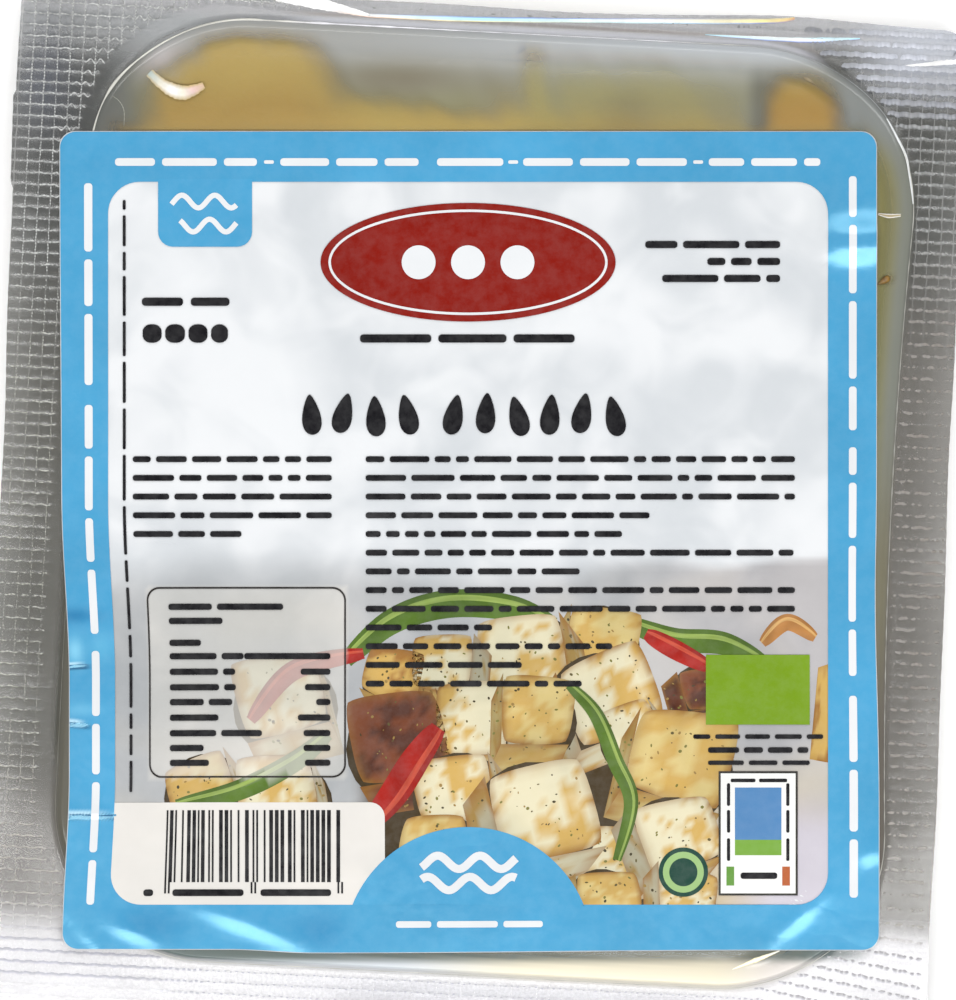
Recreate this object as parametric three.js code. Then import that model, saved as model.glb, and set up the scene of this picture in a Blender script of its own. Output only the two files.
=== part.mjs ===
// Vacuum pack of sesame tofu: a thermoformed clear tray film with its slab of tofu, shut by a
// sealed lid film, and the printed label stuck on the lid. Millimetres, +Z up out of the label.
// The pocket hangs below the flange and its flat floor rests on z = 0.
import * as THREE from "three";

// ---- driving dimensions, mm ----
const POCKET_W = 117.6; // rim of the pocket, across
const POCKET_L = 133.8; // rim of the pocket, along
const RIM_R = [23.3, 24.5, 22.4, 22]; // rim's corners: bottom right, top right, top left, bottom left
const RIM_BOW = 1.77; // the right-hand wall is drawn in by the vacuum
const FLANGE_LEFT = 10.3;
const FLANGE_RIGHT = 6.8;
const FLANGE_TOP = 3.85;
const FLANGE_BOTTOM = 8.05;
const FLANGE_T = 0.6; // lid and tray film sealed together
const CORNER_R = 3.0; // trimmed corners of the flange
const EDGE_WAVER = 0.35; // the cut edge wanders by this much
const EDGE_SWELL = 0.9; // and stands out by this much along the top edge
const EDGE_SKEW = 0.012; // the side cuts lean by this much
const SWELL_AT = 40;
const SWELL_REACH = 12;

const LID_Z = 9.7; // lid over the tofu
const FLANGE_Z = 9.1; // flange beside the pocket
const MOAT_D = 0.2; // the lid sinks between tofu and rim
const MOAT_AT = 3.2; // middle of that sunk ring, in from the rim
const MOAT_W = 2.0;
const LID_SAG = 0.12; // gentle hollows of the lid
const RIPPLE_SIDE = 0.34; // waves of the side flanges
const RIPPLE_END = 0.14; // waves of the top and bottom flanges
const FOOT_SLOPE = 0.11; // the bottom end of the flange hangs down
const FOOT_FROM = 42; // and starts to this far below the middle
const FOOT_RAMP = 20;
const HEAD_SLOPE = 0.17; // the same at the top end
const HEAD_FROM = 56;
const HEAD_RAMP = 8;
const SIDE_DROP = 0.5;

const WALL_DRAFT = 4.6; // floor is this much smaller all round
const FLOOR_R = 3.4; // rounding between wall and floor
const NECK_R = 0.9; // rounding between flange and wall

const LABEL_W = 115.5;
const LABEL_L = 116.0;
const LABEL_R = 2.2;
const LABEL_T = 0.28;
const LABEL_GAP = 0.28; // clear of the lid, so that the two solids stay apart
const DRAPE = 1.6; // the label bridges hollows narrower than this
const LABEL_AT = [-2.13, -5.22]; // from the middle of the pocket
const LABEL_TURN = 3.0; // degrees, stuck on a little askew

const SIDE_X = 25; // segments along the top and bottom sides
const SIDE_Y = 29; // segments along the left and right sides
const CORNER_N = 9;

const smooth = (a, b, t) => {
  const u = Math.min(Math.max((t - a) / (b - a), 0), 1);
  return u * u * (3 - 2 * u);
};

// A closed ring of points round a rectangle with the sides given from the pocket's middle.
// The corners have one radius, or one each. Every ring has the same count, so that neighbouring
// rings join point to point.
function ring(left, right, bottom, top, r, nx = SIDE_X, ny = SIDE_Y, nc = CORNER_N) {
  const most = Math.min((right - left) / 2 - 0.2, (top - bottom) / 2 - 0.2);
  const [br, tr, tl, bl] = (Array.isArray(r) ? r : [r, r, r, r]).map((v) => Math.max(0.4, Math.min(v, most)));
  const out = [];
  const side = (x0, y0, x1, y1, n) => {
    for (let i = 0; i < n; i++) out.push([x0 + ((x1 - x0) * i) / n, y0 + ((y1 - y0) * i) / n]);
  };
  const corner = (cx, cy, radius, from) => {
    for (let i = 0; i < nc; i++) {
      const a = ((from + (90 * i) / nc) * Math.PI) / 180;
      out.push([cx + radius * Math.cos(a), cy + radius * Math.sin(a)]);
    }
  };
  side(left + bl, bottom, right - br, bottom, nx);
  corner(right - br, bottom + br, br, -90);
  side(right, bottom + br, right, top - tr, ny);
  corner(right - tr, top - tr, tr, 0);
  side(right - tr, top, left + tl, top, nx);
  corner(left + tl, top - tl, tl, 90);
  side(left, top - tl, left, bottom + bl, ny);
  corner(left + bl, bottom + bl, bl, 180);
  return out;
}

// The drawn-in right-hand wall: a sideways shift that fades out towards the middle of the pack.
function bow(x, y) {
  const reach = smooth(20, POCKET_W / 2 - 4, x) * (1 - smooth(POCKET_L / 2 - 12, POCKET_L / 2, Math.abs(y)));
  return RIM_BOW * reach * (((y - 4) / 52) ** 2 - 0.83);
}

const pocketRing = (inset) =>
  ring(
    -POCKET_W / 2 + inset, POCKET_W / 2 - inset, -POCKET_L / 2 + inset, POCKET_L / 2 - inset,
    RIM_R.map((r) => r - inset),
  ).map(([x, y]) => [x + bow(x, y), y]);

// Distance from the rim, positive on the flange.
function rimDistance(x, y) {
  const [br, tr, tl, bl] = RIM_R;
  const r = x > 0 ? (y > 0 ? tr : br) : y > 0 ? tl : bl;
  const qx = Math.abs(x - bow(x, y)) - (POCKET_W / 2 - r);
  const qy = Math.abs(y) - (POCKET_L / 2 - r);
  return Math.hypot(Math.max(qx, 0), Math.max(qy, 0)) + Math.min(Math.max(qx, qy), 0) - r;
}

// A slope that sets in over a ramp: 0 before it, straight after it.
const hang = (t, slope, ramp) =>
  t <= 0 ? 0 : slope * (t < ramp ? (t * t) / (2 * ramp) : t - ramp / 2);

// Height of the upper skin: lid, sunk ring, rim and rippled flange.
function skinZ(x, y) {
  const d = rimDistance(x, y);
  const lid =
    LID_Z + LID_SAG * (Math.sin(x / 17 + 0.6) * Math.cos(y / 21 - 0.4) - 0.4 * Math.cos(x / 9 - y / 13));
  const moat = MOAT_D * Math.exp(-(((d + MOAT_AT) / MOAT_W) ** 2)) * (0.55 + 0.45 * smooth(20, 60, y));
  const out = smooth(0, 9, d);
  const side = smooth(-6, 6, Math.abs(x) - Math.abs(y) + (POCKET_L - POCKET_W) / 2);
  const waves = (t) => Math.sin(t / 6.3) + 0.5 * Math.sin(t / 3.4 + 1.7);
  const wave = out * (RIPPLE_SIDE * waves(y) * side + RIPPLE_END * waves(x) * (1 - side));
  const fall =
    hang(-FOOT_FROM - y, FOOT_SLOPE, FOOT_RAMP) +
    hang(y - HEAD_FROM, HEAD_SLOPE, HEAD_RAMP) * (0.6 + 0.4 * smooth(-25, 40, x)) +
    SIDE_DROP * smooth(POCKET_W / 2 + 1, POCKET_W / 2 + FLANGE_LEFT, Math.abs(x));
  const flange = FLANGE_Z + wave - fall;
  const t = smooth(-2.2 - 2.6 * (1 - smooth(-62, -40, y)), 1.2, d);
  return (lid - moat) * (1 - t) + flange * t;
}

// Height the label hangs at: it bridges the small hollows of the skin below it.
function drapeZ(x, y) {
  let z = skinZ(x, y);
  for (let i = 0; i < 8; i++) {
    const a = (i * Math.PI) / 4;
    z = Math.max(z, skinZ(x + DRAPE * Math.cos(a), y + DRAPE * Math.sin(a)));
  }
  return z;
}

// The cut edge, wandering a little inside its nominal line.
function cutRing() {
  const left = -POCKET_W / 2 - FLANGE_LEFT;
  const right = POCKET_W / 2 + FLANGE_RIGHT;
  const bottom = -POCKET_L / 2 - FLANGE_BOTTOM;
  const top = POCKET_L / 2 + FLANGE_TOP;
  const waver = (t) => EDGE_WAVER * 0.25 * (2 + Math.sin(t / 11 + 1) + Math.sin(t / 5.2));
  return ring(left, right, bottom, top, CORNER_R).map(([x, y]) => {
    const inX = Math.abs(x - (left + right) / 2) / (right - left) > 0.49;
    const inY = Math.abs(y - (top + bottom) / 2) / (top - bottom) > 0.49;
    const swell = y > 0 ? EDGE_SWELL * Math.exp(-(((x - SWELL_AT) / SWELL_REACH) ** 2)) : 0;
    return [
      (inX && !inY ? x - Math.sign(x) * waver(y) : x) - EDGE_SKEW * y,
      inY && !inX ? y - Math.sign(y) * waver(x) + swell : y,
    ];
  });
}

// Joins rings of equal length into one closed skin, capped at both ends by a fan.
function skin(rings) {
  const n = rings[0].length;
  const middle = (r) => r.reduce((s, p) => s.map((v, i) => v + p[i] / n), [0, 0, 0]);
  const position = [...rings.flat(), middle(rings[0]), middle(rings.at(-1))].flat();
  const index = [];
  for (let k = 0; k + 1 < rings.length; k++)
    for (let i = 0; i < n; i++) {
      const [a, b] = [k * n + i, k * n + ((i + 1) % n)];
      index.push(a, a + n, b + n, a, b + n, b);
    }
  const [head, tail] = [rings.length * n, rings.length * n + 1];
  const last = (rings.length - 1) * n;
  for (let i = 0; i < n; i++) {
    index.push(head, i, (i + 1) % n);
    index.push(tail, last + ((i + 1) % n), last + i);
  }
  const g = new THREE.BufferGeometry();
  g.setAttribute("position", new THREE.Float32BufferAttribute(position, 3));
  g.setIndex(index);
  g.computeVertexNormals();
  return g;
}

const lift = (points, z) => points.map(([x, y]) => [x, y, z(x, y)]);
const blend = (a, b, t) => a.map(([x, y], i) => [x + (b[i][0] - x) * t, y + (b[i][1] - y) * t]);

function packGeometry() {
  const rings = [];
  for (const inset of [44, 30, 16, 8, 5.2, MOAT_AT, 1.4, 0]) rings.push(lift(pocketRing(inset), skinZ));
  const rim = pocketRing(0);
  const cut = cutRing();
  for (const t of [0.16, 0.4, 0.7, 1]) rings.push(lift(blend(rim, cut, t), skinZ));
  const under = (x, y) => skinZ(x, y) - FLANGE_T;
  for (const t of [1, 0.7, 0.4, 0.16]) rings.push(lift(blend(rim, cut, t), under));

  // neck: the flange turns down into the wall, all round the rim
  const rimUnder = rim.map(([x, y]) => skinZ(x, y) - FLANGE_T);
  const follow = (points, z) => points.map(([x, y], i) => [x, y, z(rimUnder[i])]);
  for (const a of [35, 75]) {
    const s = Math.sin((a * Math.PI) / 180);
    const c = 1 - Math.cos((a * Math.PI) / 180);
    rings.push(follow(pocketRing(NECK_R * s), (z) => z - NECK_R * c));
  }
  // wall, rounding and floor
  const wallIn = WALL_DRAFT - FLOOR_R * 0.35;
  rings.push(follow(pocketRing(NECK_R + (wallIn - NECK_R) * 0.5), (z) => (z - NECK_R + FLOOR_R) / 2));
  for (const a of [0, 22, 45, 68, 90]) {
    const s = Math.sin((a * Math.PI) / 180);
    const c = Math.cos((a * Math.PI) / 180);
    rings.push(lift(pocketRing(wallIn + FLOOR_R * (1 - c)), () => FLOOR_R * (1 - s)));
  }
  rings.push(lift(pocketRing(34), () => 0));
  return skin(rings);
}

function labelGeometry() {
  const turn = (LABEL_TURN * Math.PI) / 180;
  const place = ([x, y]) => [
    LABEL_AT[0] + x * Math.cos(turn) - y * Math.sin(turn),
    LABEL_AT[1] + x * Math.sin(turn) + y * Math.cos(turn),
  ];
  const at = (inset) =>
    ring(
      -LABEL_W / 2 + inset, LABEL_W / 2 - inset, -LABEL_L / 2 + inset, LABEL_L / 2 - inset,
      Math.max(LABEL_R - inset, 0.5), 20, 20, 2,
    ).map(place);
  const lower = (x, y) => drapeZ(x, y) + LABEL_GAP;
  const upper = (x, y) => lower(x, y) + LABEL_T;
  const insets = [46, 30, 16, 9, 5.5, 2.6, 0];
  return skin([
    ...insets.map((d) => lift(at(d), upper)),
    ...[...insets].reverse().map((d) => lift(at(d), lower)),
  ]);
}

function piece(name, geometry, colour, roughness, metalness = 0) {
  const m = new THREE.MeshStandardMaterial({ color: colour, roughness, metalness });
  const mesh = new THREE.Mesh(geometry, m);
  mesh.name = name;
  return mesh;
}

// The origin is the middle of the pack's outline, on the resting face.
const pack = packGeometry();
const label = labelGeometry();
pack.computeBoundingBox();
const middle = pack.boundingBox.getCenter(new THREE.Vector3());
for (const g of [pack, label]) g.translate(-middle.x, -middle.y, 0);

const root = new THREE.Group();
root.name = "sesame_tofu_pack";
root.add(piece("sealed_pack", pack, 0xd8d3bd, 0.28));
root.add(piece("label", label, 0xdfeaf1, 0.35));

export default root;
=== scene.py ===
"""Looks of the sesame tofu pack: clear films, the tofu shut inside, and the printed label."""
import random

import bpy
import numpy as np
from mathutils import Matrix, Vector, noise
from numpy import (arange, array, clip, column_stack, concatenate, cos, exp, linspace, maximum, minimum,
                   pi, radians, sin, vstack, where)


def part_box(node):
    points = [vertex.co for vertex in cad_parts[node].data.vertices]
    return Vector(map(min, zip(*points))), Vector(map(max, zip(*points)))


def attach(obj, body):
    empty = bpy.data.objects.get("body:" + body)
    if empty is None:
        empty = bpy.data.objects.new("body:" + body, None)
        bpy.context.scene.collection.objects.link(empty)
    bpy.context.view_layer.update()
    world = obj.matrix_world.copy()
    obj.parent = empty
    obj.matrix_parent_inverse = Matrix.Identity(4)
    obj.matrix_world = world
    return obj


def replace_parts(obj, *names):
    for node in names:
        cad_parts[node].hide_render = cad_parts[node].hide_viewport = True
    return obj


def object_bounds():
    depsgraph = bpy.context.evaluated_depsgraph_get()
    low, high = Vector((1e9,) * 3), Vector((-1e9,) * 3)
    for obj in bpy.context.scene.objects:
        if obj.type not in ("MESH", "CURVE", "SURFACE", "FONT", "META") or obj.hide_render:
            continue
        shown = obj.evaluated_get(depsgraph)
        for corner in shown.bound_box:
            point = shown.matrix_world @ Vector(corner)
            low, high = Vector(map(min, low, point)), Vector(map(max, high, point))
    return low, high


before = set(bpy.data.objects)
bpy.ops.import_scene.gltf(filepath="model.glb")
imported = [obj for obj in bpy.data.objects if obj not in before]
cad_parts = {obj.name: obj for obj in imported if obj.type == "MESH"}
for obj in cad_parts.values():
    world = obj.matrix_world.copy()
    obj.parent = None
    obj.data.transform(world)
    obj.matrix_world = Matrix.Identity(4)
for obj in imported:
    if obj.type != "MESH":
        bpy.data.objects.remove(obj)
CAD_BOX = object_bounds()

# ---- sizes of the pack, mm, the same as the solids' ----
POCKET_W, POCKET_L = 117.6, 133.8
RIM_R = (23.3, 24.5, 22.4, 22)  # rim's corners: bottom right, top right, top left, bottom left
RIM_BOW = 1.77
FULL_AT, FULL_BY = (-55.5, 55), 0.6  # the upper left corner is a little fuller here
FLANGE_LEFT, FLANGE_RIGHT, FLANGE_TOP, FLANGE_BOTTOM = 10.3, 6.8, 3.85, 8.05
CUT = (-POCKET_W / 2 - FLANGE_LEFT, POCKET_W / 2 + FLANGE_RIGHT,
       -POCKET_L / 2 - FLANGE_BOTTOM, POCKET_L / 2 + FLANGE_TOP)  # the trimmed film: left, right, bottom, top
CORNER_R = 3
EDGE_WAVER, EDGE_SWELL = 0.35, 0.9
EDGE_SKEW = 0.012  # the side cuts lean by this much
SWELL_AT, SWELL_REACH = 40, 12
LID_Z, FLANGE_Z = 9.7, 9.1
MOAT_D, MOAT_AT, MOAT_W = 0.2, 3.2, 2
LID_SAG = 0.12
RIPPLE_SIDE, RIPPLE_END = 0.2, 0.14  # waves of the flanges
FOOT_SLOPE, FOOT_FROM, FOOT_RAMP = 0.11, 42, 20  # the bottom end of the flange hangs down
HEAD_SLOPE, HEAD_FROM, HEAD_RAMP = 0.17, 56, 8  # the same at the top end
SIDE_DROP = 0.5
WALL_DRAFT, FLOOR_R, NECK_R = 4.6, 3.4, 0.9
WALL_IN = WALL_DRAFT - FLOOR_R * 0.35  # where the wall meets the rounded floor edge
LABEL_W, LABEL_L, LABEL_R = 115.5, 116, 2.2
LABEL_AT, LABEL_TURN, LABEL_T = (-2.13, -5.22), radians(3), 0.11
SEAL_GAP = 0.16  # lid film above tray film on the sealed flange
CELL_X, CELL_Y = 1.78, 1.62  # embossed cells of the seal
LIFT = 0.02  # the tray film's floor over the shelf
TOFU_TOP, TOFU_BOTTOM = 9.25, 0.45
TOFU_EDGE, TOFU_FOOT_R = 2.6, 2.4  # rounding of the slab's upper and lower edges
SEED_AT = (54.6, 34.6)  # a toasted seed that shows beside the label

# where the tofu lies against the lid above the label: place along and above the label's top edge,
# reach both ways, turn, blur as a share of the reach, strength
LUMPS = (
    ((-4, -3), (52, 5.6), 0, 0.4, 1),
    ((-33.5, 2), (12.6, 11), 0.1, 0.34, 1),
    ((-31, 5.5), (8.6, 10), -0.3, 0.42, 0.95),
    ((-25, 4), (6.5, 8), -0.2, 0.5, 0.8),
    ((-13, -1), (10.5, 6), -0.12, 0.4, 0.9),
    ((22, 1), (20, 9), 0, 0.6, 0.72),
    ((9.2, 8.5), (1.7, 7.5), 0.1, 0.8, 0.55),
    ((47, 0.5), (5.6, 8), 0, 0.34, 1),
)
DIP = ((40.8, 2), (1.7, 6))  # dark gap beside the right-hand lump

# soft folds of the label: place on the label, reach along and across, turn, height
LABEL_FOLDS = (
    ((-31, -54), (8.4, 1.7), -0.34, 0.2),
    ((-47.6, -55.2), (4, 1.3), -0.4, 0.17),
    ((47, -52.8), (5.6, 1.3), 0.73, 0.2),
    ((56.4, -44), (2.2, 1.4), 0.8, 0.2),
    ((55.4, 42.6), (7, 3.2), 0.06, 0.8),
    ((34, 44.5), (13, 4.2), 0.12, 0.28),
    ((-12, 6.5), (16, 5), 0.3, 0.3),
    ((-50, 50), (9, 5), 0.9, 0.2),
    ((33, 12), (9, 12), 0.5, 0.5),
    ((-30, 20), (12, 7), -0.4, 0.36),
)
# sharp creases running in from the label's left edge: place at the edge, length, width, drop, turn
CREASES = (
    ((-57.8, -25.7), 3.8, 0.7, 0.12, -0.1),
    ((-57.8, -38.8), 9.6, 0.8, 0.14, 0),
    ((-57.8, -17.6), 3.6, 0.5, 0.08, 0.05),
)
# painted light and shade beside soft folds at the label's left edge and foot: place, reach, share, ink
PAINTED_FOLD_SHADES = (
    ((-56.6, -10.6), (3.4, 1.1), 0.7, (34, 110, 160)),
    ((-56.8, -15.6), (1.1, 1.9), 0.6, (150, 220, 245)),
    ((-53, -15), (2, 2.2), 0.35, (120, 200, 232)),
    ((-56, -23.9), (3, 1), 0.3, (140, 212, 240)),
    ((-21, -54.8), (3.4, 2.8), 0.6, (52, 128, 176)),
    ((-44.5, -54), (4.6, 2.6), 0.5, (52, 128, 176)),
)
STAND_OFF = 0.965  # share of the foot's fall that the stiff label stands off

# small folds of the lid film: place, reach along and across, turn, height
FILM_FOLDS = (
    ((-47, 56.9), (4.2, 1.7), -0.3, 0.1),
    ((54.6, 43.6), (2.4, 0.8), 0.05, 0.08),
    ((41.6, -62.6), (3.6, 0.75), 0.42, 0.11),
    ((12, 68.6), (22, 0.42), -0.01, 0.06),
    ((38, 69.3), (12, 0.4), -0.02, 0.06),
    ((57.5, 67.6), (5, 0.6), 0, 0.08),
    ((58.5, 63.9), (5, 0.55), 0.03, 0.07),
)

low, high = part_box("label")
ORIGIN = (array(low[:2]) + array(high[:2])) * 500 - array(LABEL_AT)  # pocket's middle, mm
RING = (96, 112, 26)  # segments along, up and round the corners of the long rings
RING_FINE = (170, 190, 34)


# ---- shapes ----
def smooth(a, b, t):
    u = clip((np.asarray(t, float) - a) / (b - a), 0, 1)
    return u * u * (3 - 2 * u)


def hill(x, y, at, reach, turn=0):
    """A soft round or long bump, 1 at its top."""
    dx, dy = x - at[0], y - at[1]
    c, s = cos(turn), sin(turn)
    u, v = (dx * c + dy * s) / reach[0], (-dx * s + dy * c) / reach[1]
    return exp(-(u * u + v * v))


def crest(t, at, reach):
    """A soft line, 1 along its middle."""
    return exp(-(((t - at) / reach) ** 2))


def cloud(points, scale, z):
    """Slow random swell over flat places."""
    return array([noise.noise(Vector((a * scale[0], b * scale[1], z))) for a, b in points])


def arc(mid, radius, start, end, n):
    a = radians(linspace(start, end, n))
    return column_stack([mid[0] + radius[0] * cos(a), mid[1] + radius[1] * sin(a)])


def ellipse(mid, radius, n):
    return arc(mid, radius, 0, 360 * (n - 1) / n, n)


def ring(left, right, bottom, top, r, nx, ny, nc):
    """A closed ring of points round a rectangle with one corner radius or four, as an (n, 2) array."""
    most = min((right - left) / 2 - 0.02, (top - bottom) / 2 - 0.02)
    br, tr, tl, bl = clip(np.broadcast_to(r, 4), 0.05, max(most, 0.05))
    turns = [arc(mid, (radius, radius), 90 * k - 90, 90 * k, nc + 1) for k, (mid, radius) in enumerate((
        ((right - br, bottom + br), br), ((right - tr, top - tr), tr),
        ((left + tl, top - tl), tl), ((left + bl, bottom + bl), bl)))]
    sides = [linspace(turns[k - 1][-1], turns[k][0], (nx, ny)[k % 2] + 1)[:-1] for k in range(4)]
    return concatenate([part for side, turn in zip(sides, turns) for part in (side, turn[:-1])])


def ring_faces(count, n, head=None, tail=None):
    """Faces that join count rings of n points, and fans to middle points."""
    i = arange(n)
    faces = []
    for a in (k * n + i for k in range(count - 1)):
        b = a - i + (i + 1) % n
        faces += np.stack([a, a + n, b + n, b], 1).tolist()
    if head is not None:
        faces += [[head, j, (j + 1) % n] for j in range(n)]
    if tail is not None:
        last = (count - 1) * n
        faces += [[tail, last + (j + 1) % n, last + j] for j in range(n)]
    return faces


def grid_faces(columns, rows):
    """Faces of a sheet of points, row after row."""
    i = (arange(rows)[:, None] * (columns + 1) + arange(columns)).ravel()
    return np.stack([i, i + 1, i + columns + 2, i + columns + 1], 1)


def sideways(line, closed=False):
    """Unit steps to the left of a line, at each of its points."""
    d = np.roll(line, -1, 0) - np.roll(line, 1, 0) if closed else np.gradient(line, axis=0)
    d /= maximum(np.linalg.norm(d, axis=1), 1e-9)[:, None]
    return column_stack([-d[:, 1], d[:, 0]])


def curve_points(points, n):
    """A smooth line through a few points."""
    points = np.asarray(points, float)
    last = len(points) - 1
    out = []
    for s in linspace(0, last, n):
        i = min(int(s), last - 1)
        p = [points[max(i - 1, 0)], points[i], points[i + 1], points[min(i + 2, last)]]
        f = s - i
        out.append(0.5 * ((2 * p[1]) + (-p[0] + p[2]) * f + (2 * p[0] - 5 * p[1] + 4 * p[2] - p[3]) * f ** 2
                          + (-p[0] + 3 * p[1] - 3 * p[2] + p[3]) * f ** 3))
    return array(out)


# ---- the pack's form ----
def full_corner(x, y):
    return FULL_BY * hill(x, y, FULL_AT, (7, 7))


def bow(x, y):
    """How far the right-hand wall is drawn in."""
    reach = smooth(20, POCKET_W / 2 - 4, x) * (1 - smooth(POCKET_L / 2 - 12, POCKET_L / 2, abs(y)))
    return RIM_BOW * reach * (((y - 4) / 52) ** 2 - 0.83)


def pocket_ring(inset, counts=RING):
    w, h = POCKET_W / 2 - inset, POCKET_L / 2 - inset
    p = ring(-w, w, -h, h, array(RIM_R) - inset, *counts)
    p[:, 0] += bow(p[:, 0], p[:, 1])
    p += array([-0.8, 0.6]) * full_corner(*p.T)[:, None]
    return p


def cut_ring(counts=RING):
    """The trimmed edge of the flange."""
    left, right, bottom, top = CUT
    p = ring(*CUT, CORNER_R, *counts)
    in_x = abs(p[:, 0] - (left + right) / 2) / (right - left) > 0.49
    in_y = abs(p[:, 1] - (top + bottom) / 2) / (top - bottom) > 0.49

    def waver(t):
        return EDGE_WAVER * 0.25 * (2 + sin(t / 11 + 1) + sin(t / 5.2) + 0.3 * sin(t * 2.3))

    q = p.copy()
    q[:, 0] -= where(in_x & ~in_y, np.sign(p[:, 0]) * waver(p[:, 1]), 0)
    q[:, 1] -= where(in_y & ~in_x, np.sign(p[:, 1]) * waver(p[:, 0]), 0)
    q[:, 1] += where(in_y & ~in_x & (p[:, 1] > 0), EDGE_SWELL * crest(p[:, 0], SWELL_AT, SWELL_REACH), 0)
    ledge = 0.35 * smooth(55, 54.5, p[:, 1]) * smooth(41.6, 42.1, p[:, 1])  # a slip of the knife
    q[:, 0] -= EDGE_SKEW * q[:, 1] + where(in_x & ~in_y & (p[:, 0] < 0), ledge, 0)
    return q


def rim_distance(x, y):
    """How far out from the pocket's rim; less than 0 inside it."""
    br, tr, tl, bl = RIM_R
    r = where(x > 0, where(y > 0, tr, br), where(y > 0, tl, bl))
    qx = abs(x - bow(x, y)) - (POCKET_W / 2 - r)
    qy = abs(y) - (POCKET_L / 2 - r)
    return np.hypot(maximum(qx, 0), maximum(qy, 0)) + minimum(maximum(qx, qy), 0) - r - full_corner(x, y)


def upper_left(x, y):
    """Share of the pack's upper left corner, where the seal's pattern is sharpest."""
    return smooth(-POCKET_W / 2 + 26, -POCKET_W / 2 + 6, x) * smooth(26, 50, y)


def waffle_start(x, y):
    """How far out from the rim the pressed pattern of the seal begins."""
    corner = upper_left(x, y)
    left = smooth(0, -POCKET_W / 2, x) * smooth(-58, -46, y)
    head = smooth(60, 66, y) * smooth(-34, -22, x)
    return 0.35 + (1.7 + 1.2 * smooth(54, 62, y)) * corner + 2.4 * left * (1 - corner) + 0.9 * head


def hang(t, slope, ramp):
    """A slope that sets in over a ramp: 0 before it, straight after it."""
    t = maximum(t, 0)
    return slope * where(t < ramp, t * t / (2 * ramp), t - ramp / 2)


def skin_z(x, y):
    """Height of the lid film's skin: over the tofu, down into the sunk ring, and out over the flange."""
    x, y = np.asarray(x, float), np.asarray(y, float)
    d = rim_distance(x, y)
    lid = LID_Z + LID_SAG * (sin(x / 17 + 0.6) * cos(y / 21 - 0.4) - 0.4 * cos(x / 9 - y / 13))
    moat = MOAT_D * crest(d, -MOAT_AT, MOAT_W) * (0.55 + 0.45 * smooth(20, 60, y))
    side = smooth(-6, 6, abs(x) - abs(y) + (POCKET_L - POCKET_W) / 2)

    def waves(t):
        return sin(t / 6.3) + 0.5 * sin(t / 3.4 + 1.7)

    wave = smooth(0, 9, d) * (RIPPLE_SIDE * waves(y) * side + RIPPLE_END * waves(x) * (1 - side))
    fall = (hang(-FOOT_FROM - y, FOOT_SLOPE, FOOT_RAMP)
            + hang(y - HEAD_FROM, HEAD_SLOPE, HEAD_RAMP) * (0.6 + 0.4 * smooth(-25, 40, x))
            + SIDE_DROP * smooth(POCKET_W / 2 + 1, POCKET_W / 2 + FLANGE_LEFT, abs(x)))
    at_foot = smooth(-50, -60, y)
    t = smooth(-1.1 + 0.4 * at_foot, 0.9 - 0.8 * at_foot, d)
    return (lid - moat) * (1 - t) + (FLANGE_Z + wave - fall) * t


def film_z(x, y):
    """The lid film alone: the skin with the small dents and folds that the label doesn't follow."""
    z = skin_z(x, y)
    for at, reach, turn, height in FILM_FOLDS:
        z = z + height * hill(x, y, at, reach, turn)
    return z - 0.03 * crest(rim_distance(x, y), -0.75, 0.5)


def drape_z(x, y, reach):
    """Height at which the label hangs: it bridges the small hollows of the film below it."""
    z = skin_z(x, y)
    for a in arange(8) * pi / 4:
        z = maximum(z, skin_z(x + reach * cos(a), y + reach * sin(a)))
    return z


def label_axes(x, y):
    """Places measured along and up the label from its middle."""
    dx, dy = x - LABEL_AT[0], y - LABEL_AT[1]
    c, s = cos(LABEL_TURN), sin(LABEL_TURN)
    return dx * c + dy * s, -dx * s + dy * c


# ---- colours and pieces ----
def srgb(r, g, b):
    """Linear colour from the usual 0 to 255 values."""
    v = array((r, g, b)) / 255
    return where(v <= 0.04045, v / 12.92, ((v + 0.055) / 1.055) ** 2.4)


def blend(share, a, b):
    """Colours between a and b by a share for each point; a plain tuple is in 0 to 255 values."""
    a, b = (srgb(*c) if isinstance(c, tuple) else np.asarray(c) for c in (a, b))
    share = np.asarray(share, float)[..., None]
    return a * (1 - share) + b * share


def coats(tone, *over):
    """A colour with others laid over it, each by its share."""
    for share, colour in over:
        tone = blend(share, tone, colour)
    return tone


def make(name, points, faces, material, ink=None, slot="pack_film", **marks):
    """A mesh piece from points in millimetres from the pocket's middle, riding on the pack.

    The material reads a colour and marks for each point."""
    points = array(points, float)
    points[:, :2] += ORIGIN
    mesh = bpy.data.meshes.new(name)
    mesh.from_pydata((points / 1000).tolist(), [], [list(map(int, f)) for f in faces])
    mesh.validate()
    mesh.shade_smooth()
    mesh.materials.append(material)
    if ink is not None:
        rgba = np.ones((len(points), 4), np.float32)
        rgba[:, :3] = ink
        mesh.color_attributes.new("ink", "FLOAT_COLOR", "POINT").data.foreach_set("color", rgba.ravel())
    for mark, values in marks.items():
        a = mesh.attributes.new(mark, "FLOAT", "POINT")
        a.data.foreach_set("value", np.asarray(values, np.float32))
    piece = bpy.data.objects.new(name, mesh)
    bpy.context.scene.collection.objects.link(piece)
    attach(piece, "root")
    return piece


# ---- shader building ----
F, V = "NodeSocketFloat", "NodeSocketVector"


class Wire:
    """A value on its way between nodes; the usual signs make math nodes."""

    def __init__(self, graph, socket):
        self.graph, self.socket = graph, socket

    def __add__(self, other):
        return self.graph.math("ADD", self, other)

    def __mul__(self, other):
        return self.graph.math("MULTIPLY", self, other)

    def __sub__(self, other):
        return self.graph.math("SUBTRACT", self, other)

    def __rsub__(self, other):
        return self.graph.math("SUBTRACT", other, self)

    def __pow__(self, power):
        return self.graph.math("POWER", self, power)

    def __abs__(self):
        return self.graph.math("ABSOLUTE", self)


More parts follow.
